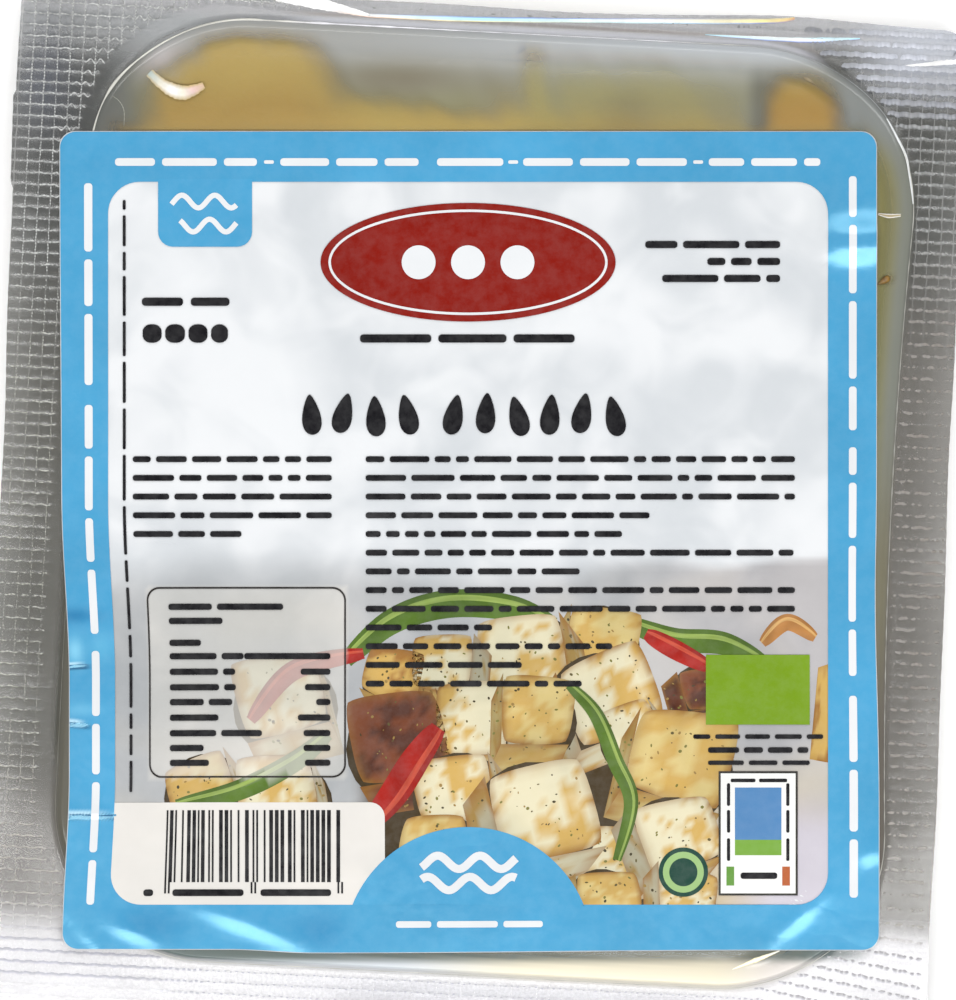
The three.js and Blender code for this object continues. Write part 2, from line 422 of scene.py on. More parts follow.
class Graph:
    """A small hand for wiring nodes in a material or a group."""

    def __init__(self, tree):
        self.tree = tree

    def put(self, socket, value):
        if isinstance(value, Wire):
            self.tree.links.new(value.socket, socket)
        elif hasattr(value, "__len__") and len(value) < len(socket.default_value):
            socket.default_value = (*value, 1)
        else:
            socket.default_value = value

    def node(self, kind, ins=(), **props):
        n = self.tree.nodes.new(kind)
        for k, v in props.items():
            setattr(n, k, v)
        for k, v in dict(ins).items():
            self.put(n.inputs[k], v)
        return n

    def wire(self, kind, ins=(), out=0, **props):
        return Wire(self, self.node(kind, ins, **props).outputs[out])

    def math(self, op, a, b=0):
        return self.wire("ShaderNodeMath", {0: a, 1: b, 2: 0}, operation=op)

    def vector(self, op, a, b, at=1):
        return self.wire("ShaderNodeVectorMath", {0: a, at: b}, operation=op)

    def noise(self, vector, scale, detail=3, rough=0.5, distortion=0):
        return self.wire("ShaderNodeTexNoise", {"Vector": vector, "Scale": scale, "Detail": detail,
                                                "Roughness": rough, "Distortion": distortion})

    def range(self, value, a, b, lo=0, hi=1):
        return self.wire("ShaderNodeMapRange", {"Value": value, "From Min": a, "From Max": b,
                                                "To Min": lo, "To Max": hi}, interpolation_type="SMOOTHSTEP")

    def mix(self, factor, a, b, blend="MIX"):
        return self.wire("ShaderNodeMix", {0: factor, 6: a, 7: b}, 2, data_type="RGBA", blend_type=blend)

    def group(self, tree, vector, **ins):
        """A shared effect, as a function that gives its outputs by name."""
        n = self.node("ShaderNodeGroup", node_tree=tree)
        for k, v in {"Vector": vector, **ins}.items():
            self.put(n.inputs[k], v)
        return lambda name: Wire(self, n.outputs[name])

    def bump(self, height, depth, strength):
        return self.wire("ShaderNodeBump", {"Height": height, "Distance": depth, "Strength": strength})


class Group(Graph):
    """A shared effect with named values going in and coming out."""

    def __init__(self, name, inputs, outputs):
        super().__init__(bpy.data.node_groups.new(name, "ShaderNodeTree"))
        sockets = self.tree.interface
        sockets.new_socket("Vector", in_out="INPUT", socket_type=V)
        for label, value in inputs.items():
            sockets.new_socket(label, in_out="INPUT", socket_type=F).default_value = value
        for label in outputs:
            sockets.new_socket(label, in_out="OUTPUT", socket_type=F)
        self.ins, self.outs = self.node("NodeGroupInput").outputs, self.node("NodeGroupOutput").inputs

    def __getitem__(self, name):
        return Wire(self, self.ins[name])

    def __setitem__(self, name, value):
        self.put(self.outs[name], value)


class Material(Graph):
    def __init__(self, name):
        self.made = bpy.data.materials.new(name)
        self.made.use_nodes = True
        super().__init__(self.made.node_tree)
        self.tree.nodes.clear()
        self.surface = self.node("ShaderNodeOutputMaterial").inputs["Surface"]
        self.at = self.wire("ShaderNodeTexCoord", out="Object")

    def mark(self, name, out="Fac"):
        return self.wire("ShaderNodeAttribute", out=out, attribute_name=name)

    def shader(self, kind, ins):
        return self.wire("ShaderNode" + kind, ins)

    def close(self, shader):
        self.put(self.surface, shader)
        return self.made

    def solid(self, colour, rough, **ins):
        """A plain opaque surface; names are written with _ for a space."""
        ins = {k.replace("_", " "): v for k, v in ins.items()}
        return self.shader("BsdfPrincipled", {"Base Color": colour, "Roughness": rough, **ins})


def build_emboss_group():
    """The waffle pressed into the seal: pillowed cells between fine raised lines."""
    g = Group("seal_emboss", {"Waver": 0.3}, ("Height", "Line"))
    wobble = g.wire("ShaderNodeTexNoise", {"Vector": g["Vector"], "Scale": 420, "Detail": 2}, "Color")
    shift = g.vector("SUBTRACT", wobble, (0.5, 0.5, 0.5))
    shift = g.vector("SCALE", shift, g["Waver"] * 0.001, "Scale")
    moved = g.vector("ADD", g["Vector"], shift)
    axes = g.node("ShaderNodeSeparateXYZ", {0: moved}).outputs
    across, along = (1 - (abs(g.math("FRACT", Wire(g, axis) * (1000 / pitch)) - 0.5) * 2) ** 3
                     for axis, pitch in zip(axes, (CELL_X, CELL_Y)))
    pillow = across * along
    g["Height"] = pillow
    g["Line"] = 1 - g.range(pillow, 0, 0.45)
    return g.tree


def build_crinkle_group():
    """Soft creases of thin film or paper."""
    g = Group("film_crinkle", {"Size": 60}, ("Height",))
    drawn = g.vector("MULTIPLY", g["Vector"], (1, 1.35, 0.6))
    wide = g.noise(drawn, g["Size"], 3, 0.55, 0.6)
    fine = g.noise(drawn, g["Size"] * 5, 4, 0.6)
    g["Height"] = abs(wide - 0.5) * 2 + fine * 0.25
    return g.tree


def build_mottle_group():
    """Uneven colour at two sizes, with dark pin specks."""
    g = Group("mottle", {"Size": 80, "Speck": 900}, ("Patch", "Grain", "Pits"))
    g["Patch"] = g.range(g.noise(g["Vector"], g["Size"], 4, 0.6, 0.4), 0.32, 0.68)
    g["Grain"] = g.noise(g["Vector"], g["Size"] * 11, 5, 0.7)
    cells = g.wire("ShaderNodeTexVoronoi", {"Vector": g["Vector"], "Scale": g["Speck"]}, "Distance")
    g["Pits"] = g.range(cells, 0.12, 0.3, 1, 0)
    return g.tree


EMBOSS, CRINKLE, MOTTLE = build_emboss_group(), build_crinkle_group(), build_mottle_group()


def film_material(name, sealed_tint, pocket_tint, gloss=0.15, emboss=0.6):
    """Thin clear film: what is behind shows through, veiled by its haze, under a fresnel gloss."""
    g = Material(name)
    seal, haze, press, veil = g.mark("seal"), g.mark("haze"), g.mark("press"), g.mark("ink", "Color")
    cells = g.group(EMBOSS, g.at, Waver=0.5)
    folds = g.group(CRINKLE, g.at, Size=55)
    worn = g.group(MOTTLE, g.at, Size=240, Speck=2400)
    flecks = (press + 0.15) * g.range(worn("Grain"), 0.35, 0.65, 0, 0.3)
    tone = g.mix(seal * flecks, veil, (0.05, 0.05, 0.05))
    tone = g.mix(cells("Line") * press * 0.3, tone, (0.75, 0.75, 0.74))
    relief = cells("Height") * press * emboss + worn("Grain") * seal * 0.35 + folds("Height") * 0.5
    bump = g.bump(relief, 0.00012, 0.8)
    clear = g.shader("BsdfTransparent", {"Color": g.mix(seal, pocket_tint, sealed_tint)})
    milk = g.solid(tone, g.range(worn("Patch"), 0, 1, 0.34, 0.46), Specular_IOR_Level=0.2, Normal=bump)
    body = g.shader("MixShader", {0: haze, 1: clear, 2: milk})
    sheen = g.shader("BsdfGlossy", {"Color": (1, 1, 1), "Roughness": gloss, "Normal": bump})
    edge = g.shader("Fresnel", {"IOR": 1.42, "Normal": bump})
    return g.close(g.shader("MixShader", {0: edge, 1: body, 2: sheen}))


def bead_material(name):
    """Whitened film where it is pressed or folded; the colour it reads from each piece carries the painted
    highlights and shade of the ridges, bead and fold slivers.
    """
    g = Material(name)
    worn = g.group(MOTTLE, g.at, Size=300, Speck=2600)
    bump = g.bump(worn("Grain"), 0.00005, 0.6)
    tone = g.mix(worn("Patch") * 0.35, g.mark("ink", "Color"), (0.3, 0.3, 0.29))
    rough = g.range(worn("Grain"), 0.3, 0.7, 0.24, 0.4)
    return g.close(g.solid(tone, rough, Specular_IOR_Level=0.3, Normal=bump))


def tofu_material():
    """Pale pressed curd with toasted patches and small pits."""
    g = Material("golden_tofu")
    skin = g.group(MOTTLE, g.at, Size=70, Speck=850)
    ink, gold = g.mark("ink", "Color"), g.mark("gold")
    tone = g.mix(skin("Patch") * gold * 0.4, ink, g.mix(0.5, ink, srgb(150, 104, 40)))
    pits = skin("Pits") * g.range(gold, 0.3, 1)
    tone = g.mix(pits * 0.2, tone, srgb(120, 92, 50))
    bump = g.bump(skin("Grain") + pits * -0.6, 0.0003, 0.35)
    return g.close(g.solid(tone, g.range(skin("Grain"), 0.3, 0.7, 0.35, 0.55), Normal=bump,
                           Specular_IOR_Level=0.25, Subsurface_Weight=0.2, Subsurface_Scale=0.5,
                           Subsurface_Radius=(0.003, 0.002, 0.001)))


def seed_material(name, light, dark):
    g = Material(name)
    husk = g.group(MOTTLE, g.at, Size=600, Speck=4000)
    bump = g.bump(husk("Grain"), 0.00005, 0.5)
    tone = g.mix(husk("Patch"), srgb(*light), srgb(*dark))
    return g.close(g.solid(tone, g.range(husk("Grain"), 0.2, 0.8, 0.28, 0.5), Normal=bump))


def paper_material(name, level, shade, sheen=(1, 1, 1)):
    """Coated label stock; its print colours are read from the pieces."""
    g = Material(name)
    ink = g.mark("ink", "Color")
    stock = g.group(MOTTLE, g.at, Size=44, Speck=1500)
    folds = g.group(CRINKLE, g.at, Size=26)
    # painted shade of soft folds: slow noise darkens the ink by up to the share shade
    waves = g.noise(g.at, 30, 2, 0.5, 1.2) * 0.65 + g.noise(g.at, 95, 2, 0.5, 0.8) * 0.35
    shaded = g.mix(1, ink, (0.72, 0.745, 0.765), "MULTIPLY")
    tone = g.mix(g.range(waves, 0.62, 0.38) * shade, ink, shaded)
    tone = g.mix(g.range(stock("Grain"), 0.3, 0.7, 0, 0.02), tone, (1, 1, 1))
    bump = g.bump(folds("Height") + stock("Grain") * 0.03, 0.0004, 0.35)
    return g.close(g.solid(tone, g.range(stock("Grain"), 0.2, 0.8, 0.14, 0.2), Normal=bump,
                           Specular_IOR_Level=level, Specular_Tint=sheen,
                           Coat_Weight=0.15, Coat_Roughness=0.12))


def floor_material():
    """Pale studio floor that glows: its emission is stronger past the pack's top end, a painted glow that
    washes out the pack's shadow there.
    """
    g = Material("pale_floor")
    glow_from = CAD_BOX[1][1] + 0.0005
    up = g.wire("ShaderNodeSeparateXYZ", {"Vector": g.at}, "Y")
    tone = g.mix(g.range(g.noise(g.at, 9, 4, 0.6), 0.3, 0.7), (0.965, 0.965, 0.965), (0.985, 0.985, 0.985))
    # painted light: the floor's glow rises past the pack's top end, over the pack's shadow
    glow = g.range(up, glow_from - 0.003, glow_from + 0.003, 0.22, 1)
    return g.close(g.solid(tone, 0.8, Emission_Color=glow, Emission_Strength=0.55))


LID_FILM = film_material("lid_film", (0.74, 0.735, 0.72), (0.98, 0.98, 0.98))
TRAY_FILM = film_material("tray_film", (0.6, 0.6, 0.59), (0.84, 0.84, 0.83), 0.13, 0.3)
PRESSED = bead_material("pressed_film")
TOFU = tofu_material()
PALE_SEED = seed_material("pale_sesame", (224, 203, 156), (196, 160, 104))
BLACK_SEED = seed_material("black_sesame", (46, 38, 30), (24, 20, 17))
TOASTED_SEED = seed_material("toasted_sesame", (142, 106, 30), (76, 50, 24))
PAPER = paper_material("label_stock", 0.3, 0.8)
PRINT_INK = paper_material("label_ink", 0.24, 0.3)
PICTURE_INK = paper_material("picture_ink", 0.3, 0.8)
BLUE_INK = paper_material("label_blue", 0.62, 0.25, (0.42, 0.88, 1))


# ---- films ----
def sealed_share(x, y):
    return smooth(-0.6, 0.6, rim_distance(x, y))


def pressed_share(x, y):
    """How strongly the seal's pattern shows: sharp at the upper left, faint along the top."""
    begins = waffle_start(x, y)
    return (smooth(begins - 0.4, begins + 0.4, rim_distance(x, y))
            * (1 - 0.8 * smooth(62, 66, y) * smooth(-30, -22, x))
            * (1 - 0.65 * smooth(20, -30, y) * smooth(-40, -58, x))
            * (1 - 0.7 * smooth(20, 45, x) * smooth(44, 20, y))
            * (1 - 0.5 * smooth(-40, -56, y)))


def tofu_touch(x, y):
    """Where the tofu lies against the lid film: 1 against it, 0 where the film spans a gap."""
    u, v = label_axes(x, y)
    d = -rim_distance(x, y)
    h = v - LABEL_L / 2
    clear = 1
    for at, reach, turn, blur, strength in LUMPS:
        far = np.sqrt(-np.log(maximum(hill(u, h, at, reach, turn), 1e-12)))
        far = far + 0.05 * sin(u / 1.9 + h / 2.7) + 0.03 * sin(u / 0.83 + h / 1.3 + 2)
        clear = clear * (1 - strength * (1 - smooth(1 - blur, 1 + blur, far)))
    top = (1 - clear) * (1 - 0.7 * hill(u, h, *DIP)) * smooth(0.2, 3, d)
    side = 0.85 * smooth(1.6, 5.2, d) * (1 - 0.9 * smooth(-48, -51, u) * smooth(14, 4, v))
    touch = side + (top - side) * smooth(-1.5, 1.5, h) * (1 - smooth(54, 58, u))
    touch = maximum(touch, 0.97 * minimum(1, 1.5 * hill(x, y, SEED_AT, (1.15, 0.75), 0.5)))
    return where(v < -LABEL_L / 2 + 1, 0.3 * smooth(0.5, 4, d), touch)


def foot_glare(x, y):
    """Share of the painted glare on the flange's foot, a painted highlight over the film, which starts higher
    at the left.
    """
    turned = smooth(30, 46, x)
    return smooth(-57 + 3 * turned, -67 + 6.5 * turned, y)


def veil_colour(x, y):
    """The film's tone where it isn't lying on the tofu, and over the sealed flange, with painted light and
    shade laid in: shadow under the label's foot, glare on the flange's foot and on the rim's slope there,
    highlight and shade bands along the top and a sheen at the upper right.
    """
    u, v = label_axes(x, y)
    d = rim_distance(x, y)
    h = v - LABEL_L / 2
    right_rim = coats((124, 122, 82), (smooth(-3.5, -1, d), (116, 119, 110)),
                      (smooth(20, -6, v), (108, 104, 84)),
                      (smooth(-6, -30, v), (94, 88, 80)), (smooth(-6, 2, h), (122, 126, 124)))
    foot = coats((208, 214, 220), (smooth(-12, 10, u), (242, 234, 210)), (smooth(34, 44, u), (224, 218, 212)))
    pocket = coats(
        blend(smooth(-2, 8, u), (140, 138, 108), (142, 142, 124)),
        (smooth(4, 12.5, h), blend(smooth(-30, 45, u), (150, 151, 148), (176, 181, 187))),
        (hill(u, h, (-10, 7.5), (11, 2.6)), (122, 116, 98)),
        (hill(x, y, (-56.2, 54.6), (0.9, 1.7)), (160, 162, 154)),
        (0.8 * hill(x, y, (-49.6, 60.4), (3.6, 1.5), 0.55), (184, 178, 180)),
        (1 - smooth(-50, -43, u), (98, 100, 94)),
        (smooth(38.5, 41, u) * (1 - smooth(6, 11, h)), (108, 109, 100)),
        (smooth(49, 54, u), right_rim),
        (smooth(-47, -52, u) * smooth(-4.5, -2.5, d), (92, 94, 90)),
        # painted shadow: a dark band just below the label's lower edge, then the foot's tones
        (smooth(-56, -58, v), blend(smooth(-58.9, -60.4, v), (92, 106, 104), foot)),
        (smooth(-47, -50, u) * smooth(14, 4, v), (84, 82, 72)),
    )
    cold = coats((66, 66, 58), (smooth(10, 40, y), (62, 66, 66)), (smooth(57, 65, y), (146, 150, 153)),
                 (hill(x, y, (-62, 50), (8, 14)), (48, 52, 52)))
    taupe = blend(smooth(16, 44, y), (100, 94, 88), (52, 55, 52))
    silver_sheen = blend(smooth(-40, 0, x) * (1 - smooth(30, 46, x)), (226, 225, 228), (206, 206, 212))
    middle = smooth(-34, -26, x) * smooth(48, 40, x) * smooth(64, 66.5, y)
    label_shadow = smooth(-57, -58, v) * smooth(-60.2, -58.8, v) * smooth(24, 34, u) * smooth(58, 53, u)
    flange = coats(
        blend(smooth(0, 40, x), cold, taupe),
        (smooth(36, 56, y) * hill(x, y, (-66, 57), (4, 8)), (70, 77, 92)),
        (smooth(-34, -56, y), blend(smooth(-20, 20, x), (96, 88, 82), (122, 118, 112))),
        # painted highlight: the foot's glare, a pale tone over the flange
        (foot_glare(x, y), silver_sheen),
        (smooth(POCKET_L / 2 - 0.5, POCKET_L / 2 + 1.5, y), (158, 159, 163)),
        # painted light: a near-white tone over the shaded slope at the rim near the foot
        (smooth(-55, -60, y) * crest(d, 0, 1), (236, 234, 234)),
        (label_shadow, (112, 124, 124)),
        # painted highlight and painted shade: a pale band and a dark band along the rim at the head
        (middle * crest(d, 0.5, 0.4), (214, 215, 224)),
        (0.8 * middle * crest(d, 1.35, 0.35), (132, 124, 120)),
        # painted sheen: a pale bluish tone on the flange's upper right corner
        (smooth(46, 58, x) * smooth(58, 66, y), (184, 189, 200)),
    )
    return blend(smooth(-0.5, 0.5, d), pocket, flange)


def build_lid_film():
    """The slack lid from its middle out over the sealed flange."""
    insets = [56, 48, 40, 32, 25, 19, 16, *arange(14, 1.6, -0.62), *arange(1.5, 0.05, -0.2), 0]
    rings = [pocket_ring(i, RING_FINE) for i in insets]
    rim, cut = rings[-1], cut_ring(RING_FINE)
    rings += [rim + (cut - rim) * t for t in linspace(0, 1, 27)[1:]]
    x, y = concatenate(rings).T
    points = column_stack([x, y, film_z(x, y)])
    points = vstack([points, points[:len(rim)].mean(0)])
    x, y = points[:, 0], points[:, 1]
    d = rim_distance(x, y)
    ends = (0.38 + 0.46 * foot_glare(x, y) + 0.3 * smooth(57, 66, y)
            + 0.24 * smooth(16, 44, y) * smooth(64, 57, y))
    low_left = smooth(-44, -50, x) * smooth(4, -6, y) * smooth(-45, -35, y)
    # the haze is near full on that slope, so its painted light tone covers the shading
    haze = maximum.reduce([ends, 0.93 * smooth(-55, -60, y) * crest(d, 0, 1),
                           0.85 * low_left * smooth(2.2, 0.2, d)])
    seal = sealed_share(x, y)
    haze = (0.05 + 0.9 * (1 - tofu_touch(x, y))) * (1 - seal) + haze * seal
    make("lid_film", points, ring_faces(len(rings), len(rim), head=len(points) - 1), LID_FILM,
         veil_colour(x, y), seal=seal, press=pressed_share(x, y), haze=haze)


def quarter():
    """Sine and cosine round a quarter turn, for a rounded edge."""
    return [(sin(a), cos(a)) for a in (radians(step) for step in range(0, 91, 10))]


def build_tray_film():
    """The formed tray: flange, neck, drafted wall, rounded floor edge and floor."""
    rim, cut = pocket_ring(0), cut_ring()
    rings = []

    def add(p, z):
        rings.append(column_stack([p, np.broadcast_to(z, len(p))]))

    for t in linspace(1, 0, 13):
        p = rim + (cut - rim) * t
        add(p, skin_z(*p.T) - SEAL_GAP)
    rim_z = skin_z(*rim.T) - SEAL_GAP
    for a in (20, 40, 60, 80):
        s, c = sin(radians(a)), cos(radians(a))
        add(pocket_ring(NECK_R * s), rim_z - NECK_R * (1 - c))
    top = rim_z - NECK_R
    for t in linspace(0.12, 0.9, 7):
        p = pocket_ring(NECK_R + (WALL_IN - NECK_R) * t)
        turn = np.arctan2(p[:, 1], p[:, 0])
        pucker = 0.1 * sin(turn * 61 + 2 * sin(turn * 7)) * sin(t * pi)
        add(p * (1 + pucker / 60)[:, None], top + (FLOOR_R - top) * t)
    for s, c in quarter():
        add(pocket_ring(WALL_IN + FLOOR_R * (1 - c)), LIFT + FLOOR_R * (1 - s))
    for inset in (12, 18, 26, 36, 46, 54):
        p = pocket_ring(inset)
        add(p, LIFT + 0.05 * (1 + sin(p[:, 0] / 8) * cos(p[:, 1] / 11)))
    n = len(rim)
    points = concatenate(rings)
    points = vstack([points, points[-n:].mean(0)])
    x, y, _ = points.T
    seal = sealed_share(x, y)
    return make("tray_film", points, ring_faces(len(rings), n, tail=len(points) - 1), TRAY_FILM,
                blend(seal, (190, 190, 184), (120, 120, 116)),
                seal=seal, press=pressed_share(x, y), haze=where(seal > 0.5, 0.12, 0.1))


def ridge(line, z, width, height):
    """Points of a low ridge with a sharp crest along a line."""
    across = sideways(line) * width[:, None] / 2
    sides = (line + across, z), (line, z + height), (line - across, z)
    return concatenate([column_stack(side) for side in sides])


def pressed_line(across, at, t):
    """One raised line of the seal's pattern: its place, strength, width, rope and tones along it, which carry
    a painted highlight on its crest, painted shade on its lower side, the foot's painted glare and a painted
    sheen at the upper right.
    """
    left, right, bottom, top = CUT
    other = np.full_like(t, at)
    x, y = (t, other) if across else (other, t)
    if across:
        y = y - 0.16 * maximum(x - 42, 0) * smooth(-50, -62, y)  # the lowest rows run off at the right
    d = rim_distance(x, y)
    corner, inner = upper_left(x, y), waffle_start(x, y)
    spots = list(zip(x, y))
    patchy = cloud(spots, (0.2, 0.2), 3 if across else 9)
    fine = cloud(spots, (0.9, 0.9), 5 if across else 1)
    grit = cloud(spots, (3.6, 3.6), 7)
    if across:
        near_end = crest(d - inner, 1.2, 2) * corner
        y = y + 0.07 * sin(t * 3.4 + at * 3) + 0.05 * fine + 0.3 * near_end * sin(t * 4.6 + at * 7)
    else:
        x = x + 0.04 * sin(t * 3.9 + at) + 0.05 * fine
    keep = (d > inner) & (minimum.reduce([x - left, right - x, y - bottom, top - y]) > 0.4)
    on_right = smooth(10, 50, x) * smooth(-62, -56, y)
    high_right = smooth(24, 46, y) * on_right
    silver_sheen = smooth(55, 60, y) * on_right
    low_left = smooth(36, 10, y) * smooth(-20, -50, x) * smooth(-60, -54, y)
    turned = smooth(36, 50, x)
    at_foot = smooth(-58 + 2.5 * turned, -66 + 5 * turned, y)
    at_head = smooth(64, 67, y) * smooth(-30, -22, x) * smooth(50, 40, x)
    if across:
        end_left = smooth(-34, -48, x)
        rope = 0.5 + 0.5 * sin(t * 2 * pi / 0.62 + 3 * fine)
        dash = smooth(-0.45, 0.05, sin(t * 2 * pi / 0.85 + at * 5 + fine))
        dash = maximum.reduce([dash, end_left, 0.45 * turned * (1 + sin(t * 5.2 + at))])
        strength = 0.72 + 0.6 * patchy + 0.6 * fine + 1.7 * grit * (1 - 0.6 * corner) * (1 - 0.75 * silver_sheen)
        strength = strength * (1 - 0.55 * on_right * (1 - high_right)) * (1 - 0.2 * high_right * (1 - silver_sheen))
        strength = strength * (1 - at_foot) + dash * (1 - 0.1 * end_left) * at_foot
        strength = strength * (1 - 0.85 * end_left * smooth(-69.5, -71.5, y))
        width = (0.2 + 0.08 * rope + 0.1 * at_foot * (1 + 2 * end_left) + 0.24 * on_right + 0.6 * silver_sheen
                 + 0.3 * at_foot * turned)
    else:
        rope = 0.5 + 0.5 * sin(t * 2 * pi / 0.45 + at)
        strength = ((0.85 + 0.5 * patchy + 0.3 * fine + 1.3 * grit) * (1 - 0.86 * on_right)
                    * (1 - 0.85 * at_foot) * (1 - 0.35 * low_left) * (0.3 + 0.7 * rope))
        width = 0.1 + 0.12 * rope
    faint = (1 - 0.12 * low_left) * (1 - 0.2 * smooth(-38, -50, y) * (1 - at_foot)) * (1 - 0.85 * at_head)
    strength = clip(strength * (0.55 + 0.45 * maximum(rope, at_foot)) * faint, 0, 1)
    # painted light and shade: base, a lit crest and a shaded side, pale at the foot's glare and at the upper
    # right's sheen
    low, head = smooth(-30, -52, y), smooth(58, 66, y) * smooth(44, 54, x)
    base = coats((100, 100, 91), (smooth(10, 40, y), (88, 90, 90)), (on_right, (116, 110, 104)),
                 (high_right, (86, 88, 86)), (silver_sheen, (112, 114, 120)), (low, (146, 142, 136)),
                 (at_foot, (238, 237, 239)), (head, (172, 176, 186)))
    bright = coats((192, 192, 182), (smooth(10, 42, y), (216, 218, 216)), (on_right, (147, 140, 133)),
                   (high_right, (164, 166, 165)), (silver_sheen, (168, 171, 180)), (low, (196, 192, 184)),
                   (at_foot, blend(turned, (170, 170, 183), (160, 158, 162))), (head, (214, 217, 227)))
    shade = coats((74, 74, 70), (low, (130, 126, 120)), (at_foot, (184, 184, 197)), (head, (132, 135, 146)))
    side = (0.8 if across else 0.3) * (1 - 0.5 * on_right) * (1 - 0.8 * silver_sheen)
    bright, shade = blend(strength, base, bright), blend(strength * side, base, shade)
    near = blend(maximum(0.5 * (1 - at_foot), 0.9 * silver_sheen), bright, base)
    return column_stack([x, y]), keep & (strength >= 0.1), width, rope, (near, bright, shade)


def build_seal_waffle():
    """Fine raised lines pressed into the flange: dotted up the pack, rope-like across it."""
    rng = random.Random(11)
    left, right, bottom, top = CUT
    points, faces, tones, count = [], [], [], 0

    def first(origin, pitch, start):
        """First place from start where a pressed cell of the films begins."""
        return start + (-(start + origin)) % pitch

    rows = [(True, at, arange(left, right, 0.11))
            for at in arange(first(ORIGIN[1], CELL_Y, bottom), top, CELL_Y)]
    files = [(False, at, arange(bottom, top, 0.085))
             for at in arange(first(ORIGIN[0], CELL_X, left), right, CELL_X)]
    for across, at, t in rows + files:
        line, shows, width, rope, inks = pressed_line(across, at, t)
        z = film_z(*line.T) - 0.005
        i = 0
        while i < len(t):
            if not shows[i] or rng.random() < 0.006:
                i += 1
                continue
            j = i
            while j < len(t) and shows[j]:
                j += 1
            if j - i > 2:
                s, steps = slice(i, j), arange(j - i)
                taper = minimum(1, minimum(steps, steps[::-1]) / 3 + 0.2)
                points.append(ridge(line[s], z[s], width[s] * taper, 0.055 * (0.5 + 0.5 * rope[s])))
                faces.extend((grid_faces(j - i - 1, 2) + count).tolist())
                tones += [ink[s] for ink in inks]
                count += 3 * (j - i)
            i = j + rng.randint(1, 2)
    make("seal_waffle", concatenate(points), faces, PRESSED, concatenate(tones))


def tube(name, path, radius, lift, tones, closed=True, sides=8):
    """A thin round bead of whitened film along a line on the lid."""
    n = len(path)
    across, base = -sideways(path, closed), film_z(*path.T) + lift
    points = []
    for k in range(sides):
        a = 2 * pi * k / sides
        points.append(column_stack([path + across * (radius * cos(a))[:, None],
                                    base + radius * 0.7 * sin(a)]))
    i, k = (g.ravel() for g in np.meshgrid(arange(n if closed else n - 1), arange(sides), indexing="ij"))
    j, m = (i + 1) % n, (k + 1) % sides
    faces = np.stack([i * sides + k, i * sides + m, j * sides + m, j * sides + k], 1)
    make(name, np.stack(points, 1).reshape(-1, 3), faces, PRESSED, np.repeat(tones, sides, 0))


def build_rim_bead():
    """The thin raised line where the lid meets the pocket's edge, lumpy at one corner; whitened film whose
    tone carries a painted highlight.
    """
    path = pocket_ring(0, (300, 340, 90))
    u, v = label_axes(*path.T)
    turn = linspace(0, 2 * pi, len(path), endpoint=False)
    lumpy = smooth(8, 34, v - u - 60) * smooth(30, 20, u) * smooth(0, 40, v)
    knots = clip(sin(turn * 61) * sin(turn * 23 + 1) + 0.2, 0, 1)
    on_right = smooth(30, 50, u) * smooth(52, 40, abs(v))
    hidden_right = smooth(36, 44, u) * smooth(54, 58, v)  # hardly shows round the upper right corner
    hidden_left = smooth(-50, -56, u) * smooth(48, 40, v) * smooth(-60, -50, v)
    radius = 0.065 + 0.045 * lumpy + 0.11 * lumpy * knots + 0.025 * sin(turn * 97) * sin(turn * 31 + 2)
    radius = (radius * (1 - 0.5 * on_right * (0.5 + 0.5 * sin(turn * 143))) * (1 - 0.5 * hidden_right)
              * (1 - 0.45 * smooth(62, 66, v) * smooth(-20, 10, u)) * (1 - 0.6 * hidden_left))
    # painted highlight: the bead's tone runs up to a pale cream, and to near white along the top middle
    painted_shine = clip(0.62 + 0.3 * sin(turn * 37) * sin(turn * 9) + 0.2 * lumpy, 0, 1)
    tones = coats((158, 157, 148), (painted_shine, (222, 221, 212)), (on_right * 0.8, (150, 149, 143)),
                  (smooth(58, 63, v) * smooth(-28, -20, u) * smooth(36, 26, u), (238, 238, 244)),
                  (hidden_left, (122, 121, 111)), (hidden_right, (168, 172, 176)))
    tube("rim_bead", path, radius, 0.04, tones)


def streak(name, points, widths, upper, middle, lower):
    """A sliver of folded film whose tones are a painted highlight; they run along it, and across it from the
    upper to the lower side.
    """
    path = curve_points(points, 90)
    n = len(path)
    t = linspace(0, 1, n)
    width = np.interp(t, linspace(0, 1, len(widths)), widths) * (1 + 0.07 * sin(t * 61) * sin(t * 23))
    rows, shown = [], []
    across = ((-1, 0.03, lower), (-0.35, 0.07, middle), (0.35, 0.07, middle), (1, 0.03, upper))
    for k, height, tones in across:
        xy = path + sideways(path) * (width * k / 2)[:, None]
        rows.append(column_stack([xy, film_z(*xy.T) + height]))
        stops, inks = linspace(0, 1, len(tones)), array([srgb(*tone) for tone in tones])
        shown.append(array([np.interp(t, stops, channel) for channel in inks.T]).T)
    make(name, concatenate(rows), grid_faces(n - 1, 3), PRESSED, concatenate(shown))


